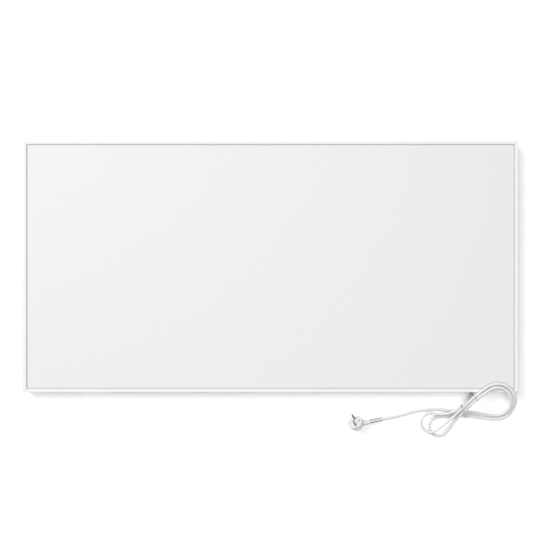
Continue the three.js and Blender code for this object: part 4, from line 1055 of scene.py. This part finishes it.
# A pin: a bar with a rounded tip in front of the face, and its seat behind it.
def addPins(turn, origin):
    t = plugLook
    tip, r = -t["pinReach"], t["pinRadius"]
    profile = [[tip, r * 0.35], [tip + 0.1, r * 0.6], [tip + 0.5, r * 0.82], [tip + 1.2, r * 0.95],
               [tip + 2.2, r], [-0.2, r], [t["pinSeat"], r]]
    for number, side in enumerate((-1, 1), 1):
        rings = turnedRings(profile, 40) + np.array([0, side * t["pinSpacing"] / 2, 0])
        pin = ringBody(f"pin_{number}", rings, smoothAngle=40)
        settle(inPlugPlace(pin, turn, origin), "nickel", f"plug_pin_{number}")


# The earth strip: a flat spring bent round the body, bowed outward by half a sine in each groove.
def addEarthStrip(turn, origin):
    t = stripLook
    share = np.linspace(0, 1, 12)
    out = t["out"] + t["bow"] * np.sin(np.pi * share)
    lower = np.stack([lerp(*t["arm"], share), 0 * share, -out], axis=1)
    upper = lower[::-1] * np.array([1, 1, -1])
    behind = np.array([[t["back"], 0, z] for z in (-t["bendOut"], 0, t["bendOut"])])
    line = np.concatenate([lower, behind, upper])
    section = barSection(t["halfWidth"], t["halfThickness"])
    strip = ringBody("earth_spring", ringsAlong(line, section, up=(0, 1, 0)))
    settle(inPlugPlace(strip, turn, origin), "nickel", "plug_earth_strip")


def addPlug():
    turn, origin = plugPlace()
    shell = carved(plugShell(), *plugTools())
    settle(evenShading(inPlugPlace(shell, turn, origin)), "plug_plastic", "plug_body")
    settle(plugRelief(turn, origin), "plug_plastic", "plug_body", look="relief_plastic")
    addPins(turn, origin)
    addEarthStrip(turn, origin)


# Cord ties.

tieLook = {"width": 3.0, "thickness": 0.7, "clearance": 0.4, "step": 0.8, "tail": 12.0, "wire": 0.55,
           "twist": 5.0, "swing": 0.5}
ties = [
    {"name": "twist_tie_waist", "node": "cord_tie_waist", "place": (-131.5, -47.5, 15.7), "azimuth": 24,
     "pitch": 0, "reach": 26, "tailAngle": 55},
    {"name": "twist_tie_edge", "node": "cord_tie_edge", "place": (-103, -13.5, 39.6), "azimuth": 36,
     "pitch": 20, "reach": 14, "tailAngle": 28},
]


# Where the strands pass through a tie's plane, on both edges of its band, as in the part's source.
def strandCentres(place, reach, across, up, normal):
    points = evenly(cordLine, cordLength / 900) - place
    depth = points @ normal
    hits = np.nonzero((depth[:-1] * depth[1:] <= 0) & (np.linalg.norm(points[1:], axis=1) <= reach))[0]
    centres = []
    for i in hits:
        course = unit(points[i + 1] - points[i])
        square = course @ normal
        slant = math.acos(min(1.0, abs(square)))
        slide = (tieLook["width"] / 2 + cord["diameter"] / 2 * math.tan(slant / 2)) / square
        for k in (-slide, slide):
            point = points[i + 1] + k * course
            centres.append([point @ across, point @ up])
    return np.array(centres)


# The ring of points a band takes round circles: the outermost point in each direction.
def stretchedRound(centres, radius, count=180):
    angle = np.arange(count) * 2 * np.pi / count
    ways = np.stack([np.cos(angle), np.sin(angle)], axis=1)
    furthest = centres[np.argmax(centres @ ways.T, axis=0)]
    return furthest + radius * ways


# A tie's own directions: two in its band's plane, and the one square to it.
def tieDirections(t):
    turn, lean = math.radians(t["azimuth"]), math.radians(t["pitch"])
    across = np.array([-math.sin(turn), math.cos(turn), 0])
    normal = np.array([math.cos(turn) * math.cos(lean), math.sin(turn) * math.cos(lean), math.sin(lean)])
    return across, np.cross(normal, across), normal


# The twisted ends: two wires that wind round the tail's middle line, half a turn apart.
def tailWires(t, place, ring, across, up, normal):
    way = np.array([math.cos(math.radians(t["tailAngle"])), math.sin(math.radians(t["tailAngle"]))])
    root = ring[np.argmax(ring @ way)]
    start = place + root[0] * across + root[1] * up
    ahead = way[0] * across + way[1] * up
    side = np.cross(ahead, normal)
    share = np.linspace(0, 1, 50)[:, None]
    middle = start + ahead * share * tieLook["tail"]
    swing = tieLook["swing"] * np.minimum(1, share * 8)
    wires = []
    for phase in (0.0, math.pi):
        angle = phase + 2 * math.pi * share * tieLook["tail"] / tieLook["twist"]
        line = middle + swing * (np.cos(angle) * normal + np.sin(angle) * side)
        wires.append((ringsAlong(line, roundSection(10), tieLook["wire"], up=normal), False))
    return wires


def addTies():
    for t in ties:
        place = corner + np.array(t["place"], float)
        across, up, normal = tieDirections(t)
        centres = strandCentres(place, t["reach"], across, up, normal)
        ring = stretchedRound(centres, cord["diameter"] / 2 + tieLook["clearance"] + tieLook["thickness"] / 2)
        loop = place + ring[:, :1] * across + ring[:, 1:] * up
        loop = evenly(np.concatenate([loop, loop[:1]]), tieLook["step"])[:-1]
        section = barSection(tieLook["width"] / 2, tieLook["thickness"] / 2, 20)
        band = ringsAlong(loop, section, up=normal, closed=True)
        wires = tailWires(t, place, ring, across, up, normal)
        settle(ringBody(t["name"], band, closed=True), "tie", t["node"], look="tie_band")
        settle(ringBodies(t["name"] + "_tail", wires), "tie", t["node"])


# Making the scene.

addCamera()
addStudio()
dressNodes()
mainsCord, mainsLine = addCord()
print("cord made")
addFrame()
addSeal()
print("frame made")
addBrackets()
addAllScrews()
addJunctionBox()
addSleeve()
print("back made")
addPlug()
addTies()
print("plug and ties made")
